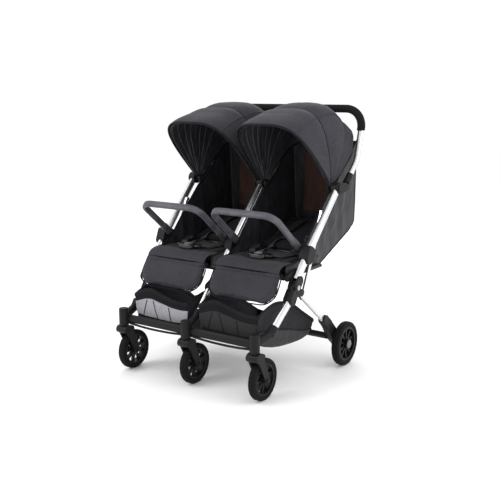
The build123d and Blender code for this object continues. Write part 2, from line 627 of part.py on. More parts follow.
save("front_leg_right", side_leg)
save("front_leg_left", mirror_x(side_leg))
save("front_leg_centre", mid_leg)
save("fold_lugs", side_lug, mid_lug, mirror_x(side_lug))
save("caster_housings", side_housing, mid_housing, mirror_x(side_housing))
save("front_cross_beams", beam, mirror_x(beam))
save("baskets", basket(22, 282), basket(-282, -22))
for side, xw in (("right", WX), ("centre", 0.0), ("left", -WX)):
    save(f"caster_fork_{side}", fork(xw))
    save(f"front_rim_{side}", rim(xw, 0, FRONT_R, 13, 4.0 + RUN, 15.5, 50, 57, 12, 9, 6.0))
    save(f"front_tyre_{side}", tyre(xw, 0, FRONT_R, 57, FRONT_R, FRONT_TYRE_W / 2))

save("rear_legs", leg_r, mirror_x(leg_r))
save("rear_knuckles", knuckle_r, mirror_x(knuckle_r))
save("rear_axle_bar", axle_bar)
save("brake_pedal", pedal)
for side, sx in (("right", 1), ("left", -1)):
    r = rim(RX, REAR_AXLE[0], REAR_AXLE[1], 19, 6.0 + RUN, 15.5, 58, 66, 13, 10, 6.5)
    t = tyre(RX, REAR_AXLE[0], REAR_AXLE[1], 66, REAR_R, REAR_TYRE_W / 2)
    save(f"rear_rim_{side}", r if sx > 0 else mirror_x(r))
    save(f"rear_tyre_{side}", t if sx > 0 else mirror_x(t))
st = strut()
save("struts", st, mirror_x(st))
he = handle_end(1)
save("handle_ends", he, handle_end(-1))
save("handle_tube", handle_tube)
save("handle_grip", grip, release_housing)
save("fold_button", button)

print("bounds", [round(v, 1) for v in LO], [round(v, 1) for v in HI])
print("files", len(os.listdir("parts")))
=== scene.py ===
import bpy
import bmesh
import math
import random
import numpy as np
from mathutils import Vector, Matrix, noise


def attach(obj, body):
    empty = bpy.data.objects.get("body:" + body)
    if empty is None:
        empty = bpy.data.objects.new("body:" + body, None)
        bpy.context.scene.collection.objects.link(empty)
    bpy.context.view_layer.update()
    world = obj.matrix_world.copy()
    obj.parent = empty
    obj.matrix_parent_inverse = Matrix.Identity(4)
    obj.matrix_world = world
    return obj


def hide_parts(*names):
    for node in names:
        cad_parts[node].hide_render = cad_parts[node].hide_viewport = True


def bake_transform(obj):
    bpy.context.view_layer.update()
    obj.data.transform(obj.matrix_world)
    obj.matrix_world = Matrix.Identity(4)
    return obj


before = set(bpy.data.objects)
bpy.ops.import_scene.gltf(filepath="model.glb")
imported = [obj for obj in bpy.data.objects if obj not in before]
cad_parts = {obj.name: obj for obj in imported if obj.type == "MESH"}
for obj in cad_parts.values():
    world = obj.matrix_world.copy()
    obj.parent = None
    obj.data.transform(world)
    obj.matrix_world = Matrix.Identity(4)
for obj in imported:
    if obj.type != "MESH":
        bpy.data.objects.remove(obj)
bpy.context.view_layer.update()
scene = bpy.context.scene
random.seed(7)
YS = 310.5  # the sections below are in mm from the front wheels' contact line


# ------------------------------------------------------------------ colour and nodes
def lin(h, k=1.0):
    h = h.lstrip("#")
    out = []
    for i in (0, 2, 4):
        c = int(h[i:i + 2], 16) / 255
        c = c / 12.92 if c <= 0.04045 else ((c + 0.055) / 1.055) ** 2.4
        out.append(min(1.0, c * k))
    return (*out, 1.0)


class Nodes:
    def __init__(self, name):
        self.m = bpy.data.materials.new(name)
        self.m.use_nodes = True
        self.t = self.m.node_tree
        for n in list(self.t.nodes):
            if n.type != "OUTPUT_MATERIAL":
                self.t.nodes.remove(n)
        self.out = next(n for n in self.t.nodes if n.type == "OUTPUT_MATERIAL")
        self.bsdf = self.add("ShaderNodeBsdfPrincipled")
        self.link(self.bsdf, 0, self.out, 0)
        self.co = self.add("ShaderNodeTexCoord").outputs["Object"]

    def add(self, kind, **kw):
        n = self.t.nodes.new(kind)
        for k, v in kw.items():
            if k in n.inputs and not hasattr(n, k):
                n.inputs[k].default_value = v
            else:
                setattr(n, k, v)
        return n

    def link(self, a, i, b, j):
        o = a.outputs[i] if hasattr(a, "outputs") else a
        self.t.links.new(o, b.inputs[j])

    def mapping(self, scale=(1, 1, 1), rot=(0, 0, 0)):
        mp = self.add("ShaderNodeMapping")
        mp.inputs["Scale"].default_value = scale
        mp.inputs["Rotation"].default_value = rot
        self.t.links.new(self.co, mp.inputs["Vector"])
        return mp.outputs[0]

    def noise(self, scale, detail=3.0, rough=0.55, vec=None, dist=0.0):
        n = self.add("ShaderNodeTexNoise")
        n.inputs["Scale"].default_value = scale
        n.inputs["Detail"].default_value = detail
        n.inputs["Roughness"].default_value = rough
        n.inputs["Distortion"].default_value = dist
        self.t.links.new(vec or self.co, n.inputs["Vector"])
        return n.outputs["Fac"]

    def wave(self, scale, axis, vec=None, dist=0.0, dscale=1.0):
        n = self.add("ShaderNodeTexWave")
        n.wave_type = "BANDS"
        n.bands_direction = axis
        n.wave_profile = "SIN"
        n.inputs["Scale"].default_value = scale
        n.inputs["Distortion"].default_value = dist
        n.inputs["Detail Scale"].default_value = dscale
        self.t.links.new(vec or self.co, n.inputs["Vector"])
        return n.outputs["Fac"]

    def math(self, op, a, b=None):
        n = self.add("ShaderNodeMath")
        n.operation = op
        for i, v in enumerate((a, b)):
            if v is None:
                continue
            if isinstance(v, (int, float)):
                n.inputs[i].default_value = v
            else:
                self.t.links.new(v, n.inputs[i])
        return n.outputs[0]

    def ramp(self, fac, stops):
        n = self.add("ShaderNodeValToRGB")
        el = n.color_ramp.elements
        while len(el) < len(stops):
            el.new(0.5)
        for e, (p, c) in zip(el, stops):
            e.position = p
            e.color = c if len(c) == 4 else (*c, 1)
        self.t.links.new(fac, n.inputs["Fac"])
        return n.outputs["Color"]

    def mix(self, fac, a, b, mode="MIX"):
        n = self.add("ShaderNodeMix")
        n.data_type = "RGBA"
        n.blend_type = mode
        for s, v in ((0, fac), (6, a), (7, b)):
            if isinstance(v, (int, float, tuple)):
                n.inputs[s].default_value = v
            else:
                self.t.links.new(v, n.inputs[s])
        return n.outputs[2]

    def bump(self, height, strength, distance, before=None):
        n = self.add("ShaderNodeBump")
        n.inputs["Strength"].default_value = strength
        n.inputs["Distance"].default_value = distance
        self.t.links.new(height, n.inputs["Height"])
        if before is not None:
            self.t.links.new(before, n.inputs["Normal"])
        return n.outputs[0]

    def remap(self, v, lo, hi):
        n = self.add("ShaderNodeMapRange")
        n.inputs["To Min"].default_value = lo
        n.inputs["To Max"].default_value = hi
        self.t.links.new(v, n.inputs["Value"])
        return n.outputs[0]

    def set(self, **kw):
        names = {"color": "Base Color", "rough": "Roughness", "metal": "Metallic", "normal": "Normal",
                 "sheen": "Sheen Weight", "sheen_rough": "Sheen Roughness", "spec": "Specular IOR Level",
                 "alpha": "Alpha", "coat": "Coat Weight", "coat_rough": "Coat Roughness", "sheen_tint": "Sheen Tint",
                 "aniso": "Anisotropic"}
        for k, v in kw.items():
            s = self.bsdf.inputs[names[k]]
            if isinstance(v, (int, float, tuple)):
                s.default_value = v
            else:
                self.t.links.new(v, s)
        return self.m


def weave(name, dark, light, pitch=1.4, sheen=0.05, rough=0.82, streak=0.5, bump=0.35, spec=0.12, blotch=0.12):
    """Plain-woven cloth: crossing threads, melange flecks along the threads, soft folds of colour."""
    n = Nodes(name)
    k = 1000.0 / pitch / 20 * 2 * math.pi / 2
    wx, wy, wz = (n.wave(k, a, dist=0.6, dscale=3.0) for a in ("X", "Y", "Z"))
    thread = n.math("MULTIPLY", n.math("ADD", wx, wy), 0.5)
    thread = n.math("ADD", n.math("MULTIPLY", thread, 0.6), n.math("MULTIPLY", wz, 0.4))
    fl1 = n.noise(420, 2, 0.6, n.mapping((1, 1, 0.22)))
    fl2 = n.noise(420, 2, 0.6, n.mapping((0.2, 0.2, 1)))
    fleck = n.math("MULTIPLY", n.math("ADD", fl1, fl2), 0.5)
    soft = n.noise(9, 3, 0.5)
    fac = n.math("ADD", n.math("MULTIPLY", fleck, streak), n.math("MULTIPLY", soft, blotch * 2))
    fac = n.math("ADD", fac, n.math("MULTIPLY", thread, 0.16))
    col = n.ramp(fac, [(0.30, lin(dark)), (0.72, lin(light))])
    b = n.bump(thread, bump, 0.0006)
    b = n.bump(n.noise(55, 3, 0.5), 0.16, 0.003, b)
    return n.set(color=col, rough=n.remap(fleck, rough - 0.08, min(1.0, rough + 0.08)), normal=b, sheen=sheen, sheen_rough=0.45, spec=spec)


def satin(name, dark, light, rough=0.5, crease=0.5):
    """Smooth lining cloth with fine creases; its colour is painted lighter along the creases as painted satin sheen."""
    n = Nodes(name)
    crease_sheen = n.noise(26, 5, 0.6, n.mapping((1, 1, 0.35)), 0.8)
    # painted sheen: the crease noise also lightens the colour in streaks
    col = n.ramp(crease_sheen, [(0.3, lin(dark)), (0.75, lin(light))])
    b = n.bump(crease_sheen, crease, 0.006)
    b = n.bump(n.wave(2200, "X", dist=0.4), 0.15, 0.0003, b)
    return n.set(color=col, rough=n.remap(crease_sheen, rough, rough + 0.22), normal=b, sheen=0.04, spec=0.28)


def net(name, thread, pitch=4.2, hole=0.5, flat=False):
    """Warp-knit net: round holes through the cloth."""
    n = Nodes(name)
    v = n.add("ShaderNodeTexVoronoi")
    v.feature = "F1"
    v.inputs["Scale"].default_value = 1000.0 / pitch
    v.inputs["Randomness"].default_value = 0.12
    vec = n.co
    if flat:
        mp = n.add("ShaderNodeMapping")
        mp.inputs["Scale"].default_value = (1, 0, 1)
        mp.inputs["Location"].default_value = (0, 0.0005 * pitch, 0)
        n.t.links.new(n.co, mp.inputs["Vector"])
        vec = mp.outputs[0]
    n.t.links.new(vec, v.inputs["Vector"])
    d = v.outputs["Distance"]
    a = n.math("GREATER_THAN", d, hole)
    col = n.ramp(n.noise(300, 2), [(0.3, lin(thread, 0.8)), (0.7, lin(thread, 1.35))])
    b = n.bump(d, 0.5, 0.001)
    return n.set(color=col, rough=0.8, alpha=a, normal=b, sheen=0.1)


def plastic(name, col, rough=0.5, grain=0.25, vary=0.14, spec=0.45, coat=0.0):
    """Moulded plastic: fine spark-eroded grain, slight tone change, convex edges painted paler as a painted edge
    highlight.
    """
    n = Nodes(name)
    g = n.noise(1600, 2, 0.6)
    soft = n.noise(14, 3, 0.5)
    f = n.math("ADD", n.math("MULTIPLY", soft, 0.7), n.math("MULTIPLY", g, 0.3))
    base = n.ramp(f, [(0.3, lin(col, 1 - vary)), (0.7, lin(col, 1 + vary))])
    geo = n.add("ShaderNodeNewGeometry")
    # painted edge highlight: convex edges (pointiness) are mixed towards a paler tone
    edge = n.ramp(geo.outputs["Pointiness"], [(0.50, (0, 0, 0)), (0.60, (1, 1, 1))])
    edge_highlight_col = n.mix(0.35, base, lin(col, 2.1))
    base = n.mix(n.math("MULTIPLY", edge, 0.6), base, edge_highlight_col)
    b = n.bump(g, grain, 0.0004)
    return n.set(color=base, rough=n.remap(soft, rough - 0.07, rough + 0.08), normal=b, spec=spec, coat=coat)


def metal(name, col, rough=0.3, axis=(1, 1, 0.04), metallic=1.0):
    """Satin anodised or brushed metal, drawn along its length."""
    n = Nodes(name)
    br = n.noise(700, 3, 0.6, n.mapping(axis))
    soft = n.noise(16, 3, 0.5)
    base = n.ramp(soft, [(0.3, lin(col, 0.93)), (0.7, lin(col, 1.05))])
    b = n.bump(br, 0.02, 0.0003)
    return n.set(color=base, rough=n.remap(br, rough - 0.03, rough + 0.05), normal=b, metal=metallic, spec=0.5)


def foam(name, col, scale=900, rough=0.85, bump=0.5):
    """Closed-cell foam skin: pinhole cells, dull."""
    n = Nodes(name)
    v = n.add("ShaderNodeTexVoronoi")
    v.inputs["Scale"].default_value = scale
    n.t.links.new(n.co, v.inputs["Vector"])
    soft = n.noise(20, 3)
    f = n.math("ADD", n.math("MULTIPLY", v.outputs["Distance"], 0.4), n.math("MULTIPLY", soft, 0.6))
    base = n.ramp(f, [(0.25, lin(col, 0.82)), (0.7, lin(col, 1.2))])
    return n.set(color=base, rough=n.remap(soft, rough - 0.1, rough + 0.05), normal=n.bump(v.outputs["Distance"], bump, 0.0006), spec=0.1)


def leather(name, dark, light):
    """Grained leather-look cover."""
    n = Nodes(name)
    v = n.add("ShaderNodeTexVoronoi")
    v.feature = "DISTANCE_TO_EDGE"
    v.inputs["Scale"].default_value = 520
    n.t.links.new(n.co, v.inputs["Vector"])
    soft = n.noise(30, 4, 0.6)
    col = n.ramp(n.math("ADD", n.math("MULTIPLY", soft, 0.8), n.math("MULTIPLY", v.outputs["Distance"], 0.5)), [(0.3, lin(dark)), (0.75, lin(light))])
    b = n.bump(v.outputs["Distance"], 0.45, 0.0007)
    b = n.bump(soft, 0.2, 0.003, b)
    return n.set(color=col, rough=n.remap(soft, 0.36, 0.55), normal=b, spec=0.5, sheen=0.08)


def webbing(name, dark, light):
    """Ribbed polyester webbing."""
    n = Nodes(name)
    w = n.wave(1000.0 / 1.8 / 20 * math.pi, "DIAGONAL", dist=0.2)
    s = n.noise(40, 3)
    col = n.ramp(n.math("ADD", n.math("MULTIPLY", w, 0.4), n.math("MULTIPLY", s, 0.6)), [(0.25, lin(dark)), (0.75, lin(light))])
    return n.set(color=col, rough=0.62, normal=n.bump(w, 0.4, 0.0006), sheen=0.1, spec=0.35)


M_CANOPY = weave("canopy_cloth", "#2b2a2f", "#4a4950", pitch=1.3)
M_TUB = satin("seat_cloth", "#111013", "#333238", 0.36, 0.7)
M_SHELL = weave("shell_cloth", "#1f1e23", "#37363c", pitch=1.3)
M_PAD = weave("pad_cloth", "#2b2a2e", "#47464c", pitch=1.5)
M_SEAT = weave("seat_pad_cloth", "#131215", "#28272b", pitch=1.5)
M_LINING = satin("lining_cloth", "#1f1e22", "#403f46", 0.36, 0.5)
# paler satin for the lining's fold strips: painted highlight along the folds
M_LINING_FOLD_HIGHLIGHT = satin("lining_fold_highlight", "#4b4a50", "#6a6970", 0.36, 0.3)
M_BROWN = satin("back_window_cloth", "#33211b", "#553a30", 0.6, 0.35)
M_BASKET = weave("basket_cloth", "#0d0c0f", "#1d1c20", pitch=1.2)
M_BASKET2 = weave("basket_side_cloth", "#1f1e22", "#38373c", pitch=1.2)
M_NET = net("basket_net", "#1d1d20", 3.4, 0.2)
# pale copy of the net: its pale thread colour is painted light, standing in for the bright backdrop seen through the
# net
M_NET_PAINTED_BACKLIGHT = net("basket_net_painted_backlight", "#8f8d93", 3.4, 0.38, True)
M_NETD = net("basket_net_dark", "#0e0e10", 3.4, 0.34, True)
M_BIND = weave("binding_tape", "#161519", "#2b2a2f", pitch=0.9, streak=0.3, rough=0.75)
M_WEB = webbing("webbing", "#101012", "#2c2b30")
M_SILVER = metal("silver_tube", "#e2e2e4", 0.26)
M_STEEL = metal("pin_steel", "#b9babd", 0.3)
M_DARKT = plastic("dark_tube", "#161618", 0.38, 0.1, 0.1, 0.5)
M_PLAST = plastic("frame_plastic", "#18181a", 0.46, 0.25, 0.14, 0.16)
M_PLAST2 = plastic("frame_plastic_light", "#38383c", 0.42)
M_WHEEL = plastic("wheel_plastic", "#101012", 0.4, 0.2, 0.14, 0.16)
M_CAP = plastic("cap_plastic", "#6a6a6f", 0.38)
M_BUCKLE = plastic("buckle_plastic", "#1a1a1d", 0.28, 0.12, 0.1, 0.55)
M_TYRE = foam("tyre_foam", "#171719", 700, 0.78, 0.35)
M_GRIP = foam("grip_foam", "#1b1b1d", 800, 0.9, 0.6)
M_LEATHER = leather("bumper_skin", "#2c2c33", "#56565f")


# ------------------------------------------------------------------ mesh helpers
def P(x, y, z):
    return (x / 1000.0, (y - YS) / 1000.0, z / 1000.0)


def PV(p):
    return P(*p)


def make(name, verts, faces, mats, smooth=True, slots=None):
    me = bpy.data.meshes.new(name)
    me.from_pydata([PV(v) for v in verts], [], [tuple(f) for f in faces])
    me.validate()
    o = bpy.data.objects.new(name, me)
    scene.collection.objects.link(o)
    for m in (mats if isinstance(mats, (list, tuple)) else [mats]):
        me.materials.append(m)
    if slots is not None:
        for p, s in zip(me.polygons, slots):
            p.material_index = s
    for p in me.polygons:
        p.use_smooth = smooth
    bm = bmesh.new()
    bm.from_mesh(me)
    bmesh.ops.recalc_face_normals(bm, faces=bm.faces)
    bm.to_mesh(me)
    bm.free()
    return o


def merge(o, d=0.00002):
    bm = bmesh.new()
    bm.from_mesh(o.data)
    bmesh.ops.remove_doubles(bm, verts=bm.verts, dist=d)
    bmesh.ops.recalc_face_normals(bm, faces=bm.faces)
    bm.to_mesh(o.data)
    bm.free()
    return o


def grid_faces(nu, nv, base=0, wrap=False):
    f = []
    for i in range(nu - 1):
        for j in range(nv - (0 if wrap else 1)):
            a, b = base + i * nv + j, base + i * nv + (j + 1) % nv
            f.append((a, b, b + nv, a + nv))
    return f


def solidify(o, t, offset=-1.0, rim=0):
    m = o.modifiers.new("thick", "SOLIDIFY")
    m.thickness = t / 1000.0
    m.offset = offset
    m.use_even_offset = False
    m.material_offset_rim = rim
    return o


def subsurf(o, n=1):
    m = o.modifiers.new("sub", "SUBSURF")
    m.levels = m.render_levels = n
    return o


def bevel(o, w, seg=2, angle=35):
    m = o.modifiers.new("bevel", "BEVEL")
    m.width = w / 1000.0
    m.segments = seg
    m.limit_method = "ANGLE"
    m.angle_limit = math.radians(angle)
    m.harden_normals = False
    return o


def resample(pts, n):
    pts = np.asarray(pts, float)
    d = np.r_[0, np.cumsum(np.linalg.norm(np.diff(pts, axis=0), axis=1))]
    t = np.linspace(0, d[-1], n)
    return np.stack([np.interp(t, d, pts[:, k]) for k in range(pts.shape[1])], 1)


def smooth_path(pts, n, closed=False):
    """Catmull-Rom through the points, resampled to n by length."""
    p = np.asarray(pts, float)
    if closed:
        q = np.vstack([p[-1], p, p[0], p[1]])
    else:
        q = np.vstack([2 * p[0] - p[1], p, 2 * p[-1] - p[-2]])
    out = []
    for i in range(1, len(q) - 2):
        for t in np.linspace(0, 1, 14, endpoint=False):
            a, b, c, d = q[i - 1], q[i], q[i + 1], q[i + 2]
            out.append(0.5 * ((2 * b) + (-a + c) * t + (2 * a - 5 * b + 4 * c - d) * t ** 2 + (-a + 3 * b - 3 * c + d) * t ** 3))
    out.append(q[-2])
    return resample(out, n)


def section(w, h, n=20, e=4.0):
    out = []
    for i in range(n):
        t = 2 * math.pi * (i + 0.5) / n
        c, s = math.cos(t), math.sin(t)
        out.append((w / 2 * math.copysign(abs(c) ** (2 / e), c), h / 2 * math.copysign(abs(s) ** (2 / e), s)))
    return out


def sweep(name, path, up, sec, mat, closed=False, caps=True, taper=None):
    """Sweeps sec (side, up) along path; up is a fixed vector or one per point."""
    path = np.asarray(path, float)
    n = len(path)
    ups = np.tile(np.asarray(up, float), (n, 1)) if np.ndim(up) == 1 else np.asarray(up, float)
    verts, faces = [], []
    for i in range(n):
        a, b = path[(i - 1) % n] if closed or i > 0 else path[0], path[(i + 1) % n] if closed or i < n - 1 else path[-1]
        t = (b - a) / np.linalg.norm(b - a)
        u = ups[i] - t * (ups[i] @ t)
        u /= np.linalg.norm(u)
        s = np.cross(t, u)
        k = 1.0 if taper is None else taper[i]
        for x, y in sec:
            verts.append(path[i] + s * x * k + u * y * k)
    m = len(sec)
    faces = grid_faces(n, m, 0, True)
    if closed:
        for j in range(m):
            faces.append(((n - 1) * m + j, (n - 1) * m + (j + 1) % m, (j + 1) % m, j))
    elif caps:
        faces.append(tuple(range(m)))
        faces.append(tuple((n - 1) * m + j for j in range(m)))
    return make(name, verts, faces, mat)


def lathe_x(name, prof, y, z, mat, seg=72, xs=1.0, x0=0.0, slots=None):
    """Closed profile of (x, r) turned about the X line through (y, z)."""
    n = len(prof)
    verts = []
    for i in range(seg):
        a = 2 * math.pi * i / seg
        for x, r in prof:
            verts.append((x0 + x * xs, y + r * math.cos(a), z + r * math.sin(a)))
    faces = []
    for i in range(seg):
        for j in range(n):
            a, b = i * n + j, i * n + (j + 1) % n
            c, d = ((i + 1) % seg) * n + (j + 1) % n, ((i + 1) % seg) * n + j
            faces.append((a, b, c, d))
    return make(name, verts, faces, mat)


def rounded(path, r, n=8):
    """Polyline in 2-D or 3-D with its inner corners rounded by r."""
    pts = []
    for p in path:
        p = np.asarray(p, float)
        if not pts or np.linalg.norm(p - pts[-1]) > 0.01:
            pts.append(p)
    out = [pts[0]]
    for i in range(1, len(pts) - 1):
        a, b, c = pts[i - 1], pts[i], pts[i + 1]
        d1, d2 = (a - b) / np.linalg.norm(a - b), (c - b) / np.linalg.norm(c - b)
        ang = max(0.05, math.acos(max(-1, min(1, d1 @ d2))))
        cut = min(r / math.tan(ang / 2), 0.48 * np.linalg.norm(a - b), 0.48 * np.linalg.norm(c - b))
        p, q = b + d1 * cut, b + d2 * cut
        for k in range(n + 1):
            t = k / n
            out.append((1 - t) ** 2 * p + 2 * t * (1 - t) * b + t * t * q)
    out.append(pts[-1])
    return np.array(out)


def fbm(x, y, z=0.0, s=1.0):
    return noise.fractal(Vector((x * s, y * s, z * s)), 0.6, 2.0, 3)


def apply_mods(o):
    dg = bpy.context.evaluated_depsgraph_get()
    me = bpy.data.meshes.new_from_object(o.evaluated_get(dg))
    o.modifiers.clear()
    o.data = me
    return o


def puff(o, cap=0.009, pressure=4.0, voxel=0.005, frames=16, levels=1):
    """Fills a closed soft form: remesh, then cloth under inner pressure, capped."""
    rm = o.modifiers.new("remesh", "REMESH")
    rm.mode = "VOXEL"
    rm.voxel_size = voxel
    apply_mods(o)
    me = o.data
    rest = np.zeros(len(me.vertices) * 3, np.float32)
    me.vertices.foreach_get("co", rest)
    rest = rest.reshape(-1, 3)
    cl = o.modifiers.new("cloth", "CLOTH")
    s = cl.settings
    s.quality = 5
    s.mass = 0.3
    s.tension_stiffness = s.compression_stiffness = 18
    s.bending_stiffness = 2.5
    s.use_pressure = True
    s.uniform_pressure_force = pressure
    s.effector_weights.gravity = 0.0
    cl.point_cache.frame_start, cl.point_cache.frame_end = 1, frames
    scene.frame_start, scene.frame_end = 1, frames
    for f in range(1, frames + 1):
        scene.frame_set(f)
    dg = bpy.context.evaluated_depsgraph_get()
    ev = o.evaluated_get(dg).data
    new = np.zeros(len(ev.vertices) * 3, np.float32)
    ev.vertices.foreach_get("co", new)
    new = new.reshape(-1, 3)
    o.modifiers.clear()
    d = new - rest
    ln = np.linalg.norm(d, axis=1, keepdims=True)
    d *= np.minimum(1.0, cap / np.maximum(ln, 1e-9))
    me.vertices.foreach_set("co", (rest + d).ravel())
    me.update()
    scene.frame_set(1)
    for p in me.polygons:
        p.use_smooth = True
    if levels:
        subsurf(o, levels)
        apply_mods(o)
        for p in o.data.polygons:
            p.use_smooth = True
    return o


def coords(o):
    co = np.zeros(len(o.data.vertices) * 3, np.float32)
    o.data.vertices.foreach_get("co", co)
    return co.reshape(-1, 3).astype(float)


def put(o, co):
    o.data.vertices.foreach_set("co", co.astype(np.float32).ravel())
    o.data.update()


def lathe_disc(name, x0, x1, y, z, r, mat, round_=1.5, seg=40):
    prof = [(x0, 0.4), (x0, r - round_), (x0 + round_ * 0.3, r - round_ * 0.3), (x0 + round_, r), (x1 - round_, r), (x1 - round_ * 0.3, r - round_ * 0.3), (x1, r - round_), (x1, 0.4)]
    return lathe_x(name, prof, y, z, mat, seg)


SIDES = (("right", 1.0, 162.5), ("left", -1.0, -162.5))
HUB = (442.0, 694.0)

# ------------------------------------------------------------------ canopies
# profile stations round the hub axis: angle, half width, crown radius, squareness
CAN_FRONT = [(101.0, 151.5, 291.0, 3.7), (103.5, 153.0, 300.0, 3.7), (108.0, 154.5, 306.0, 3.7), (113.5, 154.5, 310.0, 3.7), (119.0, 155.0, 315.0, 3.7), (124.0, 155.5, 324.0, 3.7), (129.0, 156.0, 335.5, 3.7), (133.5, 156.5, 346.5, 3.7), (137.3, 157.0, 354.0, 3.7)]
CAN_REAR = [(34.0, 149.0, 262.0, 8.0), (35.8, 150.0, 266.0, 7.5), (37.8, 151.0, 272.0, 7.0), (39.5, 152.0, 283.0, 6.4), (41.5, 153.0, 296.0, 6.0), (43.0, 153.5, 303.0, 5.8), (44.6, 154.0, 306.0, 5.5), (47.5, 154.0, 306.5, 5.0), (51.0, 154.0, 307.0, 4.6), (56.0, 153.5, 303.5, 4.3), (59.0, 153.0, 299.0, 4.0), (62.0, 154.0, 305.5, 4.0), (68.0, 154.5, 313.5, 3.9), (75.0, 155.0, 317.0, 3.8), (81.0, 155.0, 315.5, 3.8), (87.0, 154.5, 311.0, 3.7), (93.0, 154.0, 305.0, 3.7), (98.0, 153.0, 298.0, 3.7), (101.0, 151.5, 291.0, 3.7)]


def can_curve(a, R, n, N, r0=15.0):
    t = np.linspace(0, math.pi, 1600)
    c, s = np.cos(t), np.abs(np.sin(t))
    x = a * np.sign(c) * np.abs(c) ** (2 / n)
    r = R * s ** (2 / n)
    r[-1] = 0
    keep = r >= r0
    pts = np.stack([x[keep], r[keep]], 1)
    pts = resample(pts, N)
    k = np.clip((pts[:, 1] - r0) / 55.0, 0, 1)
    pts[:, 0] -= np.sign(pts[:, 0]) * (1 - k) ** 2 * (a - 146.0)
    return pts


def can_rows(xc, st, N, inset=0.0, steps=3):
    rows = []
    for i in range(len(st) - 1):
        for k in range(steps):
            f = k / steps
            rows.append(tuple(p + (q - p) * f for p, q in zip(st[i], st[i + 1])))
    rows.append(st[-1])
    verts = []
    for phi, a, R, n in rows:
        f = math.radians(phi)
        for x, r in can_curve(a - inset, R - inset, n, N):
            verts.append((xc + x, HUB[0] + r * math.cos(f), HUB[1] + r * math.sin(f)))
    return verts, len(rows)


def interp_station(st, phi):
    ph = [s[0] for s in st]
    return [float(np.interp(phi, ph, [s[k] for s in st])) for k in (1, 2, 3)]


def strip_on_canopy(name, xc, st, phi, w, t, mat, inset=0.0, N=70, e=4.0, out=0.0):
    """A sewn band of width w and thickness t that follows the canopy's profile at phi."""
    a, R, n = interp_station(st, phi)
    f = math.radians(phi)
    cu = can_curve(a - inset, R - inset, n, N)
    path = np.array([(xc + x, HUB[0] + r * math.cos(f), HUB[1] + r * math.sin(f)) for x, r in cu])
    nrm = np.array([0, -math.sin(f), math.cos(f)])
    return sweep(name, path, nrm, section(t, w, 12, e), mat)


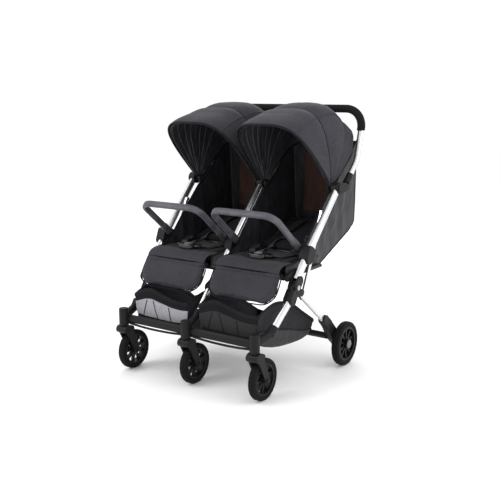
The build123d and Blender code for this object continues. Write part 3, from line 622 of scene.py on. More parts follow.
for side, sx, xc in SIDES:
    N = 61
    # rear and middle cloth, one sheet from the seat's back to the middle bow
    v, nr = can_rows(xc, CAN_REAR, N)
    v = [list(p) for p in v]
    for i, p in enumerate(v):
        row = i // N
        phi = math.degrees(math.atan2(p[2] - HUB[1], p[1] - HUB[0]))
        r = math.hypot(p[1] - HUB[0], p[2] - HUB[1])
        k = 2.2 * fbm(p[0] * 0.012, p[1] * 0.012, p[2] * 0.012 + sx)
        p[1] += k * math.cos(math.radians(phi)) * min(1, r / 200)
        p[2] += k * math.sin(math.radians(phi)) * min(1, r / 200)
    o = make(f"canopy_rear_cloth_{side}", v, grid_faces(nr, N), M_CANOPY)
    subsurf(solidify(o, 1.6), 1)
    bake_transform(o)
    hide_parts(f"canopy_mid_{side}", "canopy_rear_panels")
    # front cloth, from the middle bow to the peak
    v, nr = can_rows(xc, CAN_FRONT, N)
    v = [list(p) for p in v]
    for i, p in enumerate(v):
        k = 1.6 * fbm(p[0] * 0.011, p[1] * 0.011, p[2] * 0.011 + 3 * sx)
        p[1] += k * -0.7
        p[2] += k * 0.7
    o = make(f"canopy_front_cloth_{side}", v, grid_faces(nr, N), M_CANOPY)
    subsurf(solidify(o, 1.6), 1)
    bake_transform(o)
    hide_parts(f"canopy_front_{side}")
    # lining, gathered into soft fans between the bows
    for part, st, bodies, ph in (("rear", CAN_REAR[2:], ("chassis", f"canopy_mid_{side}"), (52, 101)), ("front", CAN_FRONT, (f"canopy_mid_{side}", f"canopy_front_{side}"), (101, 134))):
        v, nr = can_rows(xc, st, N, inset=5.0, steps=4)
        v = [list(p) for p in v]
        for i, p in enumerate(v):
            phi = math.degrees(math.atan2(p[2] - HUB[1], p[1] - HUB[0]))
            r = math.hypot(p[1] - HUB[0], p[2] - HUB[1])
            j = i % N
            e = math.sin(math.pi * j / (N - 1))
            k = (1.2 * math.sin(phi * 0.36) + 2.4 * fbm(p[0] * 0.012, p[1] * 0.012, phi * 0.06)) * min(1, r / 120)
            k = min(k, 2.5) - 2.0
            cx = (p[0] - xc) / 150.0
            p[0] += -cx * abs(k) * 0.8
            p[1] += k * e * math.cos(math.radians(phi))
            p[2] += k * e * math.sin(math.radians(phi))
        o = make(f"canopy_lining_{part}_{side}", v, grid_faces(nr, N), M_LINING)
        subsurf(solidify(o, 0.8), 1)
        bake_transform(o)
    # bows, their sewn channels, and the peak's bound edge
    bow = strip_on_canopy(f"bow_front_{side}", xc, CAN_FRONT, 135.6, 9, 4.0, M_DARKT, inset=8.0)
    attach(bow, f"canopy_front_{side}")
    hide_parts(f"canopy_bow_front_{side}")
    bow = strip_on_canopy(f"bow_mid_{side}", xc, CAN_FRONT, 101.6, 9, 4.0, M_DARKT, inset=9.5)
    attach(bow, f"canopy_mid_{side}")
    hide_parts(f"canopy_bow_mid_{side}")
    for nm, st, phi, w, t, ins, body, mt in (
        ("canopy_peak_binding", CAN_FRONT, 137.2, 9.0, 4.6, 1.5, f"canopy_front_{side}", M_BIND),
        # dark strip along the middle seam: painted shade of the crease between the lobes
        ("canopy_mid_seam", CAN_REAR, 100.9, 3.6, 2.6, -0.4, f"canopy_mid_{side}", M_BIND),
        ("canopy_mid_channel", CAN_FRONT, 101.8, 15.0, 2.4, 12.4, f"canopy_mid_{side}", M_LINING),
        ("canopy_front_channel", CAN_FRONT, 134.8, 14.0, 2.4, 11.0, f"canopy_front_{side}", M_LINING),
        ("canopy_rear_hem", CAN_REAR, 34.6, 10.0, 3.6, 0.6, "chassis", M_BIND)):
        b = strip_on_canopy(f"{nm}_{side}", xc, st, phi, w, t, mt, inset=ins)
        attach(b, body)
    # pressed folds of the lining, fanning out from the hubs: raised strips in a paler satin, the paler colour a painted
    # highlight along the folds
    for k, phi in enumerate((128.5, 119.0, 110.0, 92.0, 79.0, 66.0)):
        st = CAN_FRONT if phi > 101 else CAN_REAR
        bodies = (f"canopy_mid_{side}", f"canopy_front_{side}") if phi > 101 else ("chassis", f"canopy_mid_{side}")
        ph = (101, 134) if phi > 101 else (52, 101)
        b = strip_on_canopy(f"canopy_lining_fold_{k}_{side}", xc, st, phi, 3.6, 2.2, M_LINING_FOLD_HIGHLIGHT, inset=9.4)
        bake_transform(b)
    # seams of the roof panels, two along the crown
    for k, u in enumerate((0.33, 0.67)):
        for part, st, bodies, ph in (("rear", CAN_REAR[6:], ("chassis", f"canopy_mid_{side}"), (52, 101)), ("front", CAN_FRONT, (f"canopy_mid_{side}", f"canopy_front_{side}"), (101, 134))):
            pts, ups = [], []
            for phi in np.linspace(st[0][0], st[-1][0], 40):
                a, R, n = interp_station(st, phi)
                cu = can_curve(a, R + 0.3, n, 61)
                x, r = cu[int(round(60 * u))]
                f = math.radians(phi)
                pts.append((xc + x, HUB[0] + r * math.cos(f), HUB[1] + r * math.sin(f)))
                ups.append((0.35 * (1 if x > 0 else -1), math.cos(f), math.sin(f)))
            b = sweep(f"canopy_seam_{part}{k}_{side}", pts, np.array(ups), section(4.2, 2.4, 10, 2.4), M_CANOPY)
            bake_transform(b)
    # round eyes of the bows on the hub pins
    for q in (-1, 1):
        d = lathe_disc(f"bow_eye_{side}_{'in' if q * sx < 0 else 'out'}", xc + q * 138 - 4, xc + q * 138 + 4, HUB[0], HUB[1], 15.5, M_PLAST)
        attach(d, f"canopy_mid_{side}")

# ------------------------------------------------------------------ seat tubs
BOT = [(131, 402), (378, 405), (664, 524)]
TOP = [(137, 447), (205, 451), (262, 497), (345, 585), (430, 668), (470, 690), (560, 770), (652, 858)]
TUB_HALF = 144.0


def tub_x(u, v):
    """Half width of the tub at u front-back and v bottom-top."""
    return TUB_HALF - 10.0 * (1 - v) ** 3 - 4.0 * (1 - u)


BLEND_A, BLEND_B = P(0, 346, 582), P(0, 520, 417)
for side, sx, xc in SIDES:
    nu, nv, nf = 66, 26, 30
    bot = resample(rounded(BOT, 60), nu)
    top = resample(TOP, nu)
    verts, faces = [], []
    ids = {}

    def vid(p):
        key = (round(p[0], 2), round(p[1], 2), round(p[2], 2))
        if key not in ids:
            ids[key] = len(verts)
            verts.append(p)
        return ids[key]

    def sheet_grid(g):
        for i in range(len(g) - 1):
            for j in range(len(g[0]) - 1):
                q = [vid(g[i][j]), vid(g[i][j + 1]), vid(g[i + 1][j + 1]), vid(g[i + 1][j])]
                if len(set(q)) >= 3:
                    u = []
                    for k in q:
                        if k not in u:
                            u.append(k)
                    faces.append(tuple(u))

    def wall_pt(sgn, i, j):
        u, v = i / (nu - 1), j / (nv - 1)
        y = bot[i][0] + (top[i][0] - bot[i][0]) * v
        z = bot[i][1] + (top[i][1] - bot[i][1]) * v
        w = math.sin(math.pi * v) ** 0.8 * min(1.0, u * 3)
        ends = min(1.0, (1 - u) * 6)
        pleat = 2.4 * (math.sin(u * 46 + 2.0 * math.sin(v * 3) + (0.7 if sgn > 0 else 0)) - 1.0) * w * ends
        crump = 3.4 * fbm(y * 0.02, z * 0.02, sgn * 4 + sx) * w * ends
        return (xc + sgn * (tub_x(u, v) + min(1.5, pleat * 0.6 + crump) - 3.0 * w), y, z)

    for sgn in (-1, 1):
        sheet_grid([[wall_pt(sgn, i, j) for j in range(nv)] for i in range(nu)])
    # floor under the pad and the backrest
    g = []
    for i in range(nu):
        row = []
        hl = tub_x(i / (nu - 1), 0)
        for k in range(nf):
            s = -1 + 2 * k / (nf - 1)
            sag = 3.5 * (1 - s * s) * min(1, (nu - 1 - i) / 8) * min(1, i / 8)
            row.append((xc + s * hl, bot[i][0] + (0 if i == nu - 1 else 0.2 * sag), bot[i][1] - sag + (0 if i in (0, nu - 1) else 1.2 * fbm(i * 0.2, k * 0.25, sx) * (1 - s * s))))
        g.append(row)
    sheet_grid(g)
    # back wall
    g = []
    for j in range(nv):
        v = j / (nv - 1)
        row = []
        hl = wall_pt(1, nu - 1, j)[0] - xc
        hm = xc - wall_pt(-1, nu - 1, j)[0]
        for k in range(nf):
            s = -1 + 2 * k / (nf - 1)
            y = bot[-1][0] + (top[-1][0] - bot[-1][0]) * v
            z = bot[-1][1] + (top[-1][1] - bot[-1][1]) * v
            bow = (1 - s * s) * (6.0 * math.sin(math.pi * v) + 2.5 * fbm(k * 0.3, j * 0.3, sx * 2) * math.sin(math.pi * v))
            row.append((xc + (s * hl if s > 0 else s * hm), y + bow, z))
        g.append(row)
    sheet_grid(g)
    o = make(f"seat_tub_{side}", verts, faces, [M_TUB, M_SHELL])
    # the shell cloth is added as a second slot, but no face is given it: the outside also shows the seat cloth
    solidify(o, 2.2, 0.0)
    subsurf(o, 1)
    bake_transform(o)
    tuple(BLEND_A)
    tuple(BLEND_B)
    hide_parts(f"seat_shell_{side}")
    # bound top edges, bottom and rear corner piping
    for sgn in (-1, 1):
        edge = [wall_pt(sgn, i, nv - 1) for i in range(nu)]
        b = sweep(f"tub_binding_{side}_{'o' if sgn * sx > 0 else 'i'}", edge, (0, -0.7, 0.7), section(4.6, 9.0, 10, 3.0), M_BIND)
        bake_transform(b)
        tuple(BLEND_A)
        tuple(BLEND_B)
        edge = [wall_pt(sgn, i, 0) for i in range(6, nu)] + [wall_pt(sgn, nu - 1, j) for j in range(1, nv)]
        edge = resample(rounded(edge[::6] + [edge[-1]], 12, 4), 90)
        b = sweep(f"tub_piping_{side}_{'o' if sgn * sx > 0 else 'i'}", edge, (sgn * 1.0, 0.0, 0.0), section(4.4, 4.4, 10, 2.2), M_BIND)
        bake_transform(b)
        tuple(BLEND_A)
        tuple(BLEND_B)
    # ventilation window inside the back wall, and its flap outside
    for nm, yo, half, z0, z1, mt, bowk in (("back_window", -5.0, 96.0, 560.0, 846.0, M_BROWN, 4.0), ("back_flap", 8.5, 104.0, 590.0, 838.0, M_SHELL, 8.0)):
        g, vs = [], []
        nj, nk = 30, 26
        for j in range(nj):
            v = j / (nj - 1)
            for k in range(nk):
                s = -1 + 2 * k / (nk - 1)
                hw = half - 5 * math.sin(math.pi * v)
                z = z0 + (z1 - z0) * v
                y = 664 - 4 * (z - 524) / 337 + yo + (1 - s * s) * bowk * math.sin(math.pi * v) + 2.2 * fbm(k * 0.35, j * 0.25, 5 + sx) * (1 - s ** 4)
                vs.append((xc + s * hw, y, z))
        o = make(f"{nm}_{side}", vs, grid_faces(nj, nk), mt)
        subsurf(solidify(o, 1.6, 0.0), 1)
        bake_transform(o)
        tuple(BLEND_A)
        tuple(BLEND_B)
        if nm == "back_flap":
            loop = [(xc - half, z0), (xc + half, z0), (xc + half, z1), (xc - half, z1)]
            pts = []
            for q in range(4):
                a, b2 = np.array(loop[q]), np.array(loop[(q + 1) % 4])
                for t in np.linspace(0, 1, 16, endpoint=False):
                    x, z = a + (b2 - a) * t
                    v = (z - z0) / (z1 - z0)
                    s = (x - xc) / half
                    x = xc + s * (half - 5 * math.sin(math.pi * v))
                    pts.append((x, 664 - 4 * (z - 524) / 337 + yo + 0.6, z))
            b = sweep(f"flap_binding_{side}", pts, (0, 1, 0), section(9, 3.2, 10, 3), M_BIND, closed=True)
            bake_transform(b)
            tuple(BLEND_A)
            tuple(BLEND_B)


# ------------------------------------------------------------------ padded pieces
def slab(name, outline, n0, n1, fn, mat, rows=1):
    """Closed form: outline of (a, b) corners, from depth n0 to n1, mapped by fn(a, b, n)."""
    m = len(outline)
    verts = [fn(a, b, n0) for a, b in outline] + [fn(a, b, n1) for a, b in outline]
    faces = [tuple(range(m)), tuple(range(m, 2 * m))]
    faces += [(i, (i + 1) % m, m + (i + 1) % m, m + i) for i in range(m)]
    return make(name, verts, faces, mat)


def round_rect(x0, x1, y0, y1, r, bulge=(0, 0, 0, 0), n=7):
    """Rounded rectangle, sides bulging by the given amounts (x0, x1, y0, y1)."""
    if not isinstance(r, (list, tuple)):
        r = [r] * 4
    pts = []
    cs = [(x0 + r[0], y0 + r[0], r[0], 180), (x1 - r[1], y0 + r[1], r[1], 270), (x1 - r[2], y1 - r[2], r[2], 0), (x0 + r[3], y1 - r[3], r[3], 90)]
    for cx, cy, rr, a0 in cs:
        for k in range(n + 1):
            a = math.radians(a0 + 90 * k / n)
            pts.append([cx + rr * math.cos(a), cy + rr * math.sin(a)])
    out = []
    m = len(pts)
    for i in range(m):
        p, q = np.array(pts[i]), np.array(pts[(i + 1) % m])
        k = max(1, int(np.linalg.norm(q - p) / 14))
        for t in range(k):
            out.append(p + (q - p) * t / k)
    res = []
    for x, y in out:
        u, v = (x - x0) / (x1 - x0) * 2 - 1, (y - y0) / (y1 - y0) * 2 - 1
        dx = (bulge[1] if u > 0 else -bulge[0]) * (1 - v * v) * abs(u) ** 6
        dy = (bulge[3] if v > 0 else -bulge[2]) * (1 - u * u) * abs(v) ** 6
        res.append((x + dx, y + dy))
    return res


LEG_P = (112.0, 432.0)
_LR = (45.0 - LEG_P[0], 325.0 - LEG_P[1])
_nl = math.hypot(*_LR)
UL = (_LR[0] / _nl, _LR[1] / _nl)
CA, SA = math.cos(math.radians(19.0)), math.sin(math.radians(19.0))
REC = (372.0, 445.0)


def leg_fn(xc):
    def f(x, s, n):
        return (xc + x, LEG_P[0] + UL[0] * s + UL[1] * n, LEG_P[1] + UL[1] * s - UL[0] * n)
    return f


def back_fn(xc):
    def f(x, s, n):
        return (xc + x, REC[0] + CA * s - SA * n, REC[1] + SA * s + CA * n)
    return f


def groove(o, inv, fn, depth, width, face=None):
    """Presses sewn lines into a pad; fn gives the distance to the line in local mm, inv maps metres to local."""
    co = coords(o)
    loc, out = inv(co)
    d = fn(loc)
    k = np.exp(-(d / width) ** 2) * depth
    put(o, co - out * k[:, None] / 1000.0)


for side, sx, xc in SIDES:
    # leg rest
    f = leg_fn(xc)
    ol = round_rect(-141, 141, 4, 124, [10, 10, 48, 48], (3, 3, 0, 4))
    o = slab(f"leg_rest_pad_{side}", ol, -9.0, 7.5, f, M_PAD)
    puff(o, cap=0.0075, pressure=5.0)
    co = coords(o)
    A = np.array([0.0, UL[0], UL[1]])
    B = np.array([0.0, UL[1], -UL[0]])
    org = np.array(P(xc, *LEG_P))
    s = (co - org) @ A * 1000
    nn = (co - org) @ B * 1000
    x = (co[:, 0] - org[0]) * 1000
    front = np.clip(nn / 6.0, 0, 1)
    g = np.exp(-((s - 25 - 3 * (x / 134) ** 2) / 2.6) ** 2) * 3.4 + np.exp(-((np.maximum(np.abs(x) / 122, (s - 60) / 52) - 1) * 122 / 3.0) ** 2) * 0.0
    wr = np.array([fbm(a * 0.02, b * 0.02, 9 + sx) for a, b in zip(x, s)]) * 1.4
    put(o, co - B[None] * ((g - wr) * front)[:, None] / 1000)
    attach(o, f"leg_rest_{side}")
    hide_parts(f"leg_rest_{side}")
    pts = [f(a * 1.012, 6 + (b - 6) * 1.008, -1.0) for a, b in ol]
    b = sweep(f"leg_rest_piping_{side}", resample(np.vstack([pts, pts[:1]]), 150)[:-1], np.array([0, UL[1], -UL[0]]), section(4.6, 4.6, 10, 2.2), M_BIND, closed=True)
    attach(b, f"leg_rest_{side}")
    # hinge sleeve of the leg rest over its rod
    hs = sweep(f"leg_rest_sleeve_{side}", [f(xx, 2, 0) for xx in np.linspace(-60, 60, 20)], (0, 0, 1), section(17, 17, 18, 2.0), M_BASKET)
    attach(hs, f"leg_rest_{side}")
    # flap that bridges the seat pad and the leg rest
    vs = []
    prof = resample(smooth_path([(190, 452.0), (160, 454.0), (130, 453.5), (112, 448), (101.5, 438), (97, 428.5)], 22), 22)
    for y, z in prof:
        for k in range(34):
            t = -1 + 2 * k / 33
            vs.append((xc + 137 * t, y + 0.8 * fbm(k * 0.3, y * 0.03, sx), z + 1.2 * fbm(k * 0.25, y * 0.05, 3 + sx) - 3.5 * abs(t) ** 8))
    o = make(f"seat_front_flap_{side}", vs, grid_faces(22, 34), M_PAD)
    subsurf(solidify(o, 2.4, 0.0), 1)
    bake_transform(o)
    # seat pad
    def sp(x, y, z, xc=xc):
        return (xc + x, y, z)
    ol = round_rect(-134, 134, 139, 350, 16, (0, 0, 0, 0))
    o = slab(f"seat_pad_{side}", ol, 428, 448, sp, M_SEAT)
    puff(o, cap=0.007, pressure=5.0)
    co = coords(o)
    x, y, z = (co[:, 0] * 1000 - xc), co[:, 1] * 1000 + YS, co[:, 2] * 1000
    up = np.clip((z - 440) / 10, 0, 1)
    g = 3.0 * np.exp(-((np.abs(x) - 84) / 3.0) ** 2) + 3.0 * np.exp(-((y - 232) / 3.0) ** 2) * (np.abs(x) < 84)
    co[:, 2] -= g * up / 1000
    put(o, co)
    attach(o, "chassis")
    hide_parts("seat_pads")
    # backrest
    f = back_fn(xc)
    ol = round_rect(-128, 128, 6, 271, [12, 12, 34, 34])
    o = slab(f"backrest_pad_{side}", ol, -9.0, 8.0, f, M_SEAT)
    puff(o, cap=0.006, pressure=5.0)
    co = coords(o)
    A = np.array([0.0, CA, SA])
    B = np.array([0.0, -SA, CA])
    org = np.array(P(xc, *REC))
    s = (co - org) @ A * 1000
    nn = (co - org) @ B * 1000
    x = (co[:, 0] - org[0]) * 1000
    up = np.clip(nn / 6, 0, 1)
    g = 3.2 * np.exp(-((np.abs(x) - 86) / 3.2) ** 2) + 3.2 * (np.exp(-((s - 96) / 3.2) ** 2) + np.exp(-((s - 186) / 3.2) ** 2)) * (np.abs(x) < 86)
    wr = np.array([fbm(a * 0.025, b * 0.025, 11 + sx) for a, b in zip(x, s)]) * 1.6
    put(o, co - B[None] * ((g - wr) * up)[:, None] / 1000)
    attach(o, f"backrest_{side}")
    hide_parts(f"backrest_{side}")
    pts = [f(a * 1.015, 6 + (b - 6) * 1.006, 0.0) for a, b in ol]
    b = sweep(f"backrest_piping_{side}", resample(np.vstack([pts, pts[:1]]), 160)[:-1], np.array([0, -SA, CA]), section(4.4, 4.4, 10, 2.2), M_BIND, closed=True)
    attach(b, f"backrest_{side}")

# ------------------------------------------------------------------ harness
WEB = section(2.0, 22.0, 12, 4.0)


def ribbon(name, pts, ups, w, t, mat, n=60):
    path = smooth_path(pts, n)
    u = resample(np.asarray(ups, float), n)
    return sweep(name, path, u, section(w, t, 12, 5.0), mat)


for side, sx, xc in SIDES:
    f = back_fn(xc)
    for q in (-1, 1):
        tag = "a" if q < 0 else "b"
        pts = [f(q * 48, 258, 10.5), f(q * 50, 225, 14), f(q * 54, 190, 20), f(q * 63, 150, 17), f(q * 60, 110, 22), f(q * 50, 74, 17)]
        o = ribbon(f"shoulder_strap_{side}_{tag}", pts, [(0.15 * q, -SA, CA)] * 3 + [(0.3 * q, -SA, CA)] * 3, 24, 2.0, M_WEB)
        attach(o, f"backrest_{side}")
        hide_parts(f"shoulder_harness_{side}")
        # shoulder pad sleeve
        pp = smooth_path([f(q * 50, 228, 15), f(q * 54, 190, 21), f(q * 63, 150, 19), f(q * 60, 122, 22)], 40)
        tp = [0.82 + 0.18 * math.sin(math.pi * i / 39) ** 0.4 for i in range(40)]
        o = sweep(f"shoulder_pad_{side}_{tag}", pp, np.array([0.12 * q, -SA, CA]), section(46, 9, 20, 3.2), M_SEAT, taper=tp)
        subsurf(o, 1)
        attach(o, f"backrest_{side}")
        # loose lower end of the shoulder strap, over the seat to the buckle
        pts = [f(q * 50, 74, 17), (xc + q * 66, 410, 480), (xc + q * 70, 376, 466), (xc + q * 52, 334, 464), (xc + q * 60, 292, 459), (xc + q * 40, 250, 463), (xc + q * 34, 206, 462), (xc + q * 24, 184, 465)]
        o = ribbon(f"harness_tail_{side}_{tag}", pts, [(0.2 * q, 0, 1), (0.5 * q, 0, 1), (-0.2, 0.3, 1), (0.4 * q, 0, 1), (0.2, -0.3, 1), (0, 0, 1), (0, 0, 1)], 20, 1.8, M_WEB, 80)
        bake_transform(o)
        # waist strap
        pts = [(xc + q * 130, 352, 461), (xc + q * 118, 330, 466), (xc + q * 98, 300, 460), (xc + q * 84, 262, 465), (xc + q * 62, 226, 460), (xc + q * 40, 192, 466)]
        o = ribbon(f"waist_strap_{side}_{tag}", pts, [(0.6 * q, 0, 1), (0.2, 0, 1), (0.5 * q, 0, 1), (0, 0, 1)], 24, 2.0, M_WEB, 60)
        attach(o, "chassis")
        pp = smooth_path([(xc + q * 119, 332, 467), (xc + q * 99, 302, 462), (xc + q * 85, 264, 467)], 30)
        o = sweep(f"waist_pad_{side}_{tag}", pp, (0.25 * q, 0, 1), section(40, 8, 18, 3.2), M_SEAT, taper=[0.85 + 0.15 * math.sin(math.pi * i / 29) ** 0.4 for i in range(30)])
        subsurf(o, 1)
        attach(o, "chassis")
        # adjuster slide
        c = f(q * 55, 96, 22)
        o = sweep(f"strap_slide_{side}_{tag}", [(c[0] - 17, c[1], c[2]), (c[0] + 17, c[1], c[2])], (0, 0, 1), section(24, 6, 16, 5), M_BUCKLE)
        bevel(o, 1.0)
        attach(o, f"backrest_{side}")
    # crotch strap, buckle body and prongs
    pts = [(xc, 318, 452), (xc, 296, 460), (xc + 3, 262, 457), (xc, 228, 461), (xc, 196, 461)]
    o = ribbon(f"crotch_strap_{side}", pts, [(0, 0, 1)] * 2, 34, 2.4, M_WEB, 40)
    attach(o, "chassis")
    pp = smooth_path([(xc + 1, 290, 461), (xc + 3, 262, 459), (xc, 232, 462)], 26)
    o = sweep(f"crotch_pad_{side}", pp, (0, 0, 1), section(50, 9, 18, 3.2), M_SEAT, taper=[0.86 + 0.14 * math.sin(math.pi * i / 25) ** 0.4 for i in range(26)])
    subsurf(o, 1)
    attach(o, "chassis")
    ring = []
    for k in range(40):
        a = 2 * math.pi * k / 40
        ring.append((33 * math.copysign(abs(math.cos(a)) ** 0.62, math.cos(a)), 26 * math.copysign(abs(math.sin(a)) ** 0.62, math.sin(a))))
    lv = [(454.5, 0.93), (456, 1.0), (468, 1.0), (472.5, 0.94), (474.2, 0.84), (474.4, 0.50), (471.2, 0.47), (470.8, 0.30)]
    vs = [(xc + a * k, 176 + b * k, z) for z, k in lv for a, b in ring]
    fs = grid_faces(len(lv), 40, 0, True) + [tuple(range(40)), tuple((len(lv) - 1) * 40 + i for i in range(40))]
    o = make(f"buckle_body_{side}", vs, fs, M_BUCKLE)
    subsurf(o, 1)
    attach(o, "chassis")
    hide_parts("crotch_buckles")
    for q in (-1, 1):
        o = sweep(f"buckle_prong_{side}_{'a' if q < 0 else 'b'}", [(xc + q * 26, 182, 466), (xc + q * 34, 184, 466.5), (xc + q * 46, 188, 467), (xc + q * 50, 190, 467)], (0, 0, 1), section(30, 9, 16, 4), M_BUCKLE, taper=[0.8, 1.0, 1.0, 0.8])
        bevel(o, 1.2)
        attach(o, "chassis")

# ------------------------------------------------------------------ bumper bars
BP, BF = (232.0, 497.0), (62.0, 634.0)
_nb = math.hypot(BF[0] - BP[0], BF[1] - BP[1])
UB = ((BF[0] - BP[0]) / _nb, (BF[1] - BP[1]) / _nb)
NB = np.array([0.0, -UB[1], UB[0]])


def bump_pt(xc, x, s, n=0.0):
    return np.array([xc + x, BP[0] + UB[0] * s, BP[1] + UB[1] * s]) + NB * n * -1.0


for side, sx, xc in SIDES:
    half = 135.5
    pl = [(-half, 6), (-half, _nb - 0), (half, _nb - 0), (half, 6)]
    path2 = resample(rounded(pl, 52, 14), 120)
    path = np.array([bump_pt(xc, a, b) for a, b in path2])
    tp = [1.0] * len(path)
    o = sweep(f"bumper_cover_{side}", path, NB, section(15.0, 25, 24, 3.0), M_LEATHER)
    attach(o, f"bumper_{side}")
    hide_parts(f"bumper_{side}")
    # points along the inside of the cover for a seam; no seam is built from them
    p2 = [(a * (1 - 8.4 / half) if True else a, b - (8.4 if b > _nb - 60 and abs(a) < half - 40 else 4.0 if b > _nb - 60 else 0)) for a, b in path2]
    # arm ends: moulded sleeves with a round eye on the pivot
    for q in (-1, 1):
        pts = [bump_pt(xc, q * half, s) for s in np.linspace(2, 52, 12)]
        o = sweep(f"bumper_sleeve_{side}_{'a' if q < 0 else 'b'}", pts, NB, section(18.4, 28.4, 24, 3.4), M_PLAST2, taper=[1, 1, 1, 1, 1, 1, 1, 1, 1, 1, 0.985, 0.95])
        bevel(o, 1.0)
        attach(o, f"bumper_{side}")
        o = lathe_disc(f"bumper_eye_{side}_{'a' if q < 0 else 'b'}", xc + q * half - 9, xc + q * half + 9, BP[0], BP[1], 15.0, M_PLAST)
        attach(o, f"bumper_{side}")

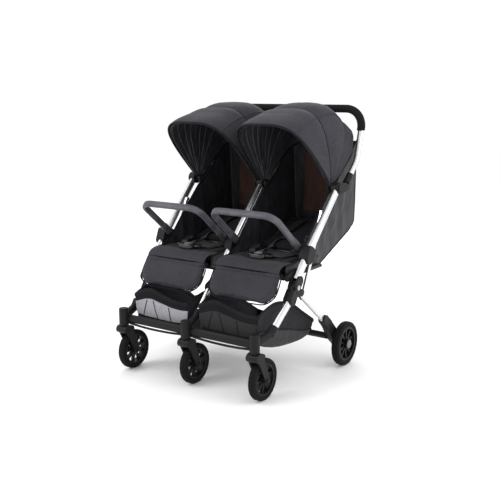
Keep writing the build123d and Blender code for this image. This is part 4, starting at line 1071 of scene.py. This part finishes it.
# ------------------------------------------------------------------ baskets
B_BOT = [(-2, 199), (78, 163), (173, 141), (298, 130), (364, 136)]
B_TOP = [(-4, 292), (60, 312), (122, 316), (213, 290), (300, 238), (379, 190)]
for side, sx, xc in SIDES:
    x0, x1 = (24.0, 280.0) if sx > 0 else (-280.0, -24.0)
    xm, hw = (x0 + x1) / 2, (x1 - x0) / 2
    nu, nv, nf = 48, 16, 30
    bot = smooth_path(B_BOT, nu)
    top = smooth_path(B_TOP, nu)
    verts, faces, slots, ids = [], [], [], {}

    def bw(sgn, i, j):
        u, v = i / (nu - 1), j / (nv - 1)
        y = bot[i][0] + (top[i][0] - bot[i][0]) * v
        z = bot[i][1] + (top[i][1] - bot[i][1]) * v
        w = math.sin(math.pi * min(1, v * 1.0)) * math.sin(math.pi * u) ** 0.5
        return (xm + sgn * (hw - 14 * (1 - v) ** 2.2 - 5 * w + 2.5 * fbm(y * 0.03, z * 0.03, sgn + sx) * w), y, z)

    def fr_hump(s):
        return float(np.interp(s, [-1, -0.85, -0.6, -0.35, 0, 0.4, 0.75, 1], [0, 9, 24, 30, 17, 2, -3, 0]))

    def add_grid(g, sl):
        for i in range(len(g) - 1):
            for j in range(len(g[0]) - 1):
                q = []
                for p in (g[i][j], g[i][j + 1], g[i + 1][j + 1], g[i + 1][j]):
                    key = tuple(round(c, 2) for c in p)
                    if key not in ids:
                        ids[key] = len(verts)
                        verts.append(p)
                    if ids[key] not in q:
                        q.append(ids[key])
                if len(q) >= 3:
                    faces.append(tuple(q))
                    slots.append(sl(i, j))

    for sgn in (-1, 1):
        add_grid([[bw(sgn, i, j) for j in range(nv)] for i in range(nu)], lambda i, j: 3 if j >= 6 or i < 2 else 1)
    g = []
    for i in range(nu):
        h0 = bw(1, i, 0)[0] - xm
        g.append([(xm + (-1 + 2 * k / (nf - 1)) * h0, bot[i][0], bot[i][1] - 5.0 * (1 - (-1 + 2 * k / (nf - 1)) ** 2) * math.sin(math.pi * i / (nu - 1)) + (0 if k in (0, nf - 1) else 1.5 * fbm(i * 0.3, k * 0.3, sx))) for k in range(nf)])
    add_grid(g, lambda i, j: 1 if i > 8 else 0)
    for end in (0, nu - 1):
        g = []
        for j in range(nv):
            v = j / (nv - 1)
            a, b = bw(-1, end, j), bw(1, end, j)
            row = []
            for k in range(nf):
                t = k / (nf - 1)
                s = -1 + 2 * t
                hump = 0.0
                if end == 0:
                    hump = fr_hump(s) * v
                else:
                    hump = -8.0 * v * (1 - s * s)
                ed = 0 if k in (0, nf - 1) else 1
                y = a[1] + (-4 if end == 0 else 4) * math.sin(math.pi * v) * (1 - s * s)
                base_sag = 5.0 * 0
                row.append((a[0] + (b[0] - a[0]) * t, y, a[2] + hump - (0 if j else base_sag)))
            g.append(row)
        g[0] = [(xm + (-1 + 2 * k / (nf - 1)) * (bw(1, end, 0)[0] - xm), bot[end][0], bot[end][1] - 0.0 + (0 if k in (0, nf - 1) else 1.5 * fbm(end * 0.3, k * 0.3, sx))) for k in range(nf)]
        add_grid(g, (lambda i, j: 0 if i >= 11 else 2) if end == 0 else (lambda i, j: 0 if i >= 6 else 1))
    # the left bay's front net is the pale copy, with painted backdrop light in its threads
    o = make(f"basket_{side}", verts, faces, [M_BASKET, M_NET, M_NET_PAINTED_BACKLIGHT if sx < 0 else M_NETD, M_BASKET2], slots=slots)
    merge(o)
    subsurf(solidify(o, 1.6, 0.0), 1)
    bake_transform(o)
    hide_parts("baskets")
    # thin tapes sewn across the front net
    def net_pt(t, v):
        a, b = bw(-1, 0, 0), bw(1, 0, 0)
        c, d = bw(-1, 0, nv - 1), bw(1, 0, nv - 1)
        lo_ = [a[k] + (b[k] - a[k]) * t for k in range(3)]
        hi_ = [c[k] + (d[k] - c[k]) * t for k in range(3)]
        s_ = -1 + 2 * t
        return (lo_[0] + (hi_[0] - lo_[0]) * v, lo_[1] + (hi_[1] - lo_[1]) * v - 4 * math.sin(math.pi * v) * (1 - s_ * s_) - 1.6, lo_[2] + (hi_[2] - lo_[2]) * v + fr_hump(s_) * v)

    for k, (t0, t1) in enumerate(((0.10, 0.24), (0.45, 0.36), (0.72, 0.66))):
        pts = [net_pt(t0 + (t1 - t0) * q, 0.04 + 0.66 * q) for q in np.linspace(0, 1, 14)]
        b = sweep(f"basket_net_tape_{k}_{side}", pts, (0, -1, 0), section(3.0, 1.8, 8, 3), M_BIND)
        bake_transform(b)
    pts = [net_pt(t, 0.10 + 0.10 * (2 * t - 1) ** 4) for t in np.linspace(0.02, 0.98, 30)]
    b = sweep(f"basket_net_hem_{side}", pts, (0, -1, 0), section(13.0, 2.4, 10, 3), M_BASKET)
    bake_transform(b)
    loop = [bw(1, i, nv - 1) for i in range(nu)]
    back = [(xm + s * hw, top[-1][0], top[-1][1] - 8.0 * (1 - s * s)) for s in np.linspace(1, -1, 24)[1:-1]]
    back2 = [bw(-1, i, nv - 1) for i in range(nu)][::-1]
    frontl = [(xm + s * hw, top[0][0], top[0][1] + fr_hump(s)) for s in np.linspace(-1, 1, 24)[1:-1]]
    pts = resample(np.array(loop + back + back2 + frontl + loop[:1]), 200)[:-1]
    b = sweep(f"basket_binding_{side}", pts, (0, 0, 1), section(4.5, 13, 10, 3.4), M_BIND, closed=True)
    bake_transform(b)
    for sgn in (-1, 1):
        pts = [bw(sgn, i, 6) for i in range(nu)]
        pts = [(p[0] + sgn * 1.2, p[1], p[2]) for p in pts]
        b = sweep(f"basket_seam_{side}_{'o' if sgn * sx > 0 else 'i'}", pts, (0, 0, 1), section(2.4, 6.5, 8, 3), M_BIND)
        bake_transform(b)
        # front and rear stations for a webbing hanger up to the frame; no hanger is built
        for nm, i in (("front", 12), ("rear", nu - 6)):
            pass

# ------------------------------------------------------------------ wheels
F_TYRE = [(-11.0, 57.0), (-13.2, 60.0), (-14.0, 65.0), (-13.6, 69.5), (-12.0, 72.4), (-9.0, 74.2), (-6.2, 74.9), (-5.6, 73.6), (-4.4, 73.6), (-3.8, 75.0), (0, 75.0), (3.8, 75.0), (4.4, 73.6), (5.6, 73.6), (6.2, 74.9), (9.0, 74.2), (12.0, 72.4), (13.6, 69.5), (14.0, 65.0), (13.2, 60.0), (11.0, 57.0)]
R_TYRE = [(-12.4, 66.0), (-14.7, 69.0), (-15.5, 74.5), (-15.1, 79.5), (-13.4, 82.8), (-10.2, 84.9), (-7.2, 85.8), (-6.5, 84.2), (-5.2, 84.2), (-4.5, 86.0), (0, 86.0), (4.5, 86.0), (5.2, 84.2), (6.5, 84.2), (7.2, 85.8), (10.2, 84.9), (13.4, 82.8), (15.1, 79.5), (15.5, 74.5), (14.7, 69.0), (12.4, 66.0)]
for nm, xw, y, z, prof, body in (("front_tyre_right", 297.0, 0, 75, F_TYRE, "front_wheel_right"), ("front_tyre_centre", 0.0, 0, 75, F_TYRE, "front_wheel_centre"), ("front_tyre_left", -297.0, 0, 75, F_TYRE, "front_wheel_left"), ("rear_tyre_right", 362.0, 483, 86, R_TYRE, "rear_wheel_right"), ("rear_tyre_left", -362.0, 483, 86, R_TYRE, "rear_wheel_left")):
    o = lathe_x(f"tyre_{nm[:-len(nm.split('_')[-1]) - 1].split('_')[0]}_{nm.split('_')[-1]}", prof, y, z, M_TYRE, 96, 1.0, xw)
    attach(o, body)
    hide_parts(nm)
for side, sx, xc in SIDES:
    cap = [(0, 0.4), (3.6, 0.4), (3.4, 8), (2.4, 13.5), (0.6, 16.5), (-1.5, 17.0), (-1.5, 0.4)]
    o = lathe_x(f"rear_hub_cap_{side}", cap, 483, 86, M_CAP, 48, sx, sx * 381.6)
    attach(o, "rear_frame")

# ------------------------------------------------------------------ CAD nodes' finish
by_node = {
    "upper_tube_right": M_SILVER, "upper_tube_left": M_SILVER, "upper_tube_centre": M_SILVER,
    "front_leg_right": M_SILVER, "front_leg_left": M_SILVER, "front_leg_centre": M_SILVER,
    "rear_legs": M_SILVER, "struts": M_SILVER, "handle_tube": M_SILVER, "frame_pins": M_STEEL,
    "frame_hubs": M_PLAST, "fold_brackets": M_PLAST, "fold_lugs": M_PLAST, "bumper_sockets": M_PLAST,
    "caster_housings": M_PLAST, "front_cross_beams": M_PLAST, "rear_knuckles": M_PLAST, "rear_axle_bar": M_PLAST,
    "brake_pedal": M_CAP, "handle_ends": M_PLAST, "fold_button": M_CAP, "handle_grip": M_GRIP, "seat_frame": M_DARKT,
}
for s in ("right", "centre", "left"):
    by_node[f"caster_fork_{s}"] = M_PLAST
    by_node[f"front_rim_{s}"] = M_WHEEL
for s in ("right", "left"):
    by_node[f"rear_rim_{s}"] = M_WHEEL
    by_node[f"buckle_button_{s}"] = M_CAP
for n, m in by_node.items():
    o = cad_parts[n]
    o.data.materials.clear()
    o.data.materials.append(m)
    for p in o.data.polygons:
        p.material_index = 0
for n in ("frame_hubs", "fold_brackets", "fold_lugs", "bumper_sockets", "caster_housings", "rear_knuckles", "rear_axle_bar", "brake_pedal", "handle_ends", "caster_fork_right", "caster_fork_centre", "caster_fork_left", "front_cross_beams"):
    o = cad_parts[n]
    w = o.modifiers.new("weld", "WELD")
    w.merge_threshold = 0.00002
    bevel(o, 1.1, 2, 40)

# ------------------------------------------------------------------ stage, light, camera
fl = bpy.data.meshes.new("floor")
fl.from_pydata([(-8, -8, 0), (8, -8, 0), (8, 8, 0), (-8, 8, 0)], [], [(0, 1, 2, 3)])
floor = bpy.data.objects.new("floor", fl)
scene.collection.objects.link(floor)
n = Nodes("floor_paper")
n.set(color=n.ramp(n.noise(1.5, 2), [(0.3, (0.985, 0.985, 0.985)), (0.7, (1.0, 1.0, 1.0))]), rough=0.95, spec=0.1)
fl.materials.append(n.m)

w = bpy.data.worlds.new("studio")
scene.world = w
w.use_nodes = True
bg = w.node_tree.nodes["Background"]
bg.inputs[0].default_value = (1, 1, 1, 1)
bg.inputs[1].default_value = 1.0


def area(name, loc, target, size, power, color=(1, 1, 1)):
    ld = bpy.data.lights.new(name, "AREA")
    ld.shape = "RECTANGLE"
    ld.size, ld.size_y = size
    ld.energy = power
    ld.color = color
    lo = bpy.data.objects.new(name, ld)
    scene.collection.objects.link(lo)
    lo.location = loc
    lo.rotation_euler = (Vector(target) - Vector(loc)).to_track_quat("-Z", "Y").to_euler()
    return lo


area("key", (-1.8, -2.6, 3.0), (0, 0, 0.6), (2.2, 2.2), 60)
area("side", (3.2, 0.6, 1.8), (0, 0, 0.6), (1.6, 2.4), 30)
area("back", (-1.0, 3.0, 2.6), (0, 0, 0.7), (2.4, 1.6), 40)

cam = bpy.data.cameras.new("camera")
cam.sensor_width = 36.0
cam.lens = 790.0 / 500.0 * 36.0
cam.clip_start, cam.clip_end = 0.05, 60
co = bpy.data.objects.new("camera", cam)
scene.collection.objects.link(co)
az, el = math.radians(34.13), math.radians(11.43)
backv = Vector((math.sin(az) * math.cos(el), -math.cos(az) * math.cos(el), math.sin(el)))
co.location = (1.7095, -2.4721, 1.0515)
co.rotation_mode = "QUATERNION"
co.rotation_quaternion = (-backv).to_track_quat("-Z", "Y")
scene.camera = co
scene.view_settings.view_transform = "Standard"
scene.view_settings.look = "None"
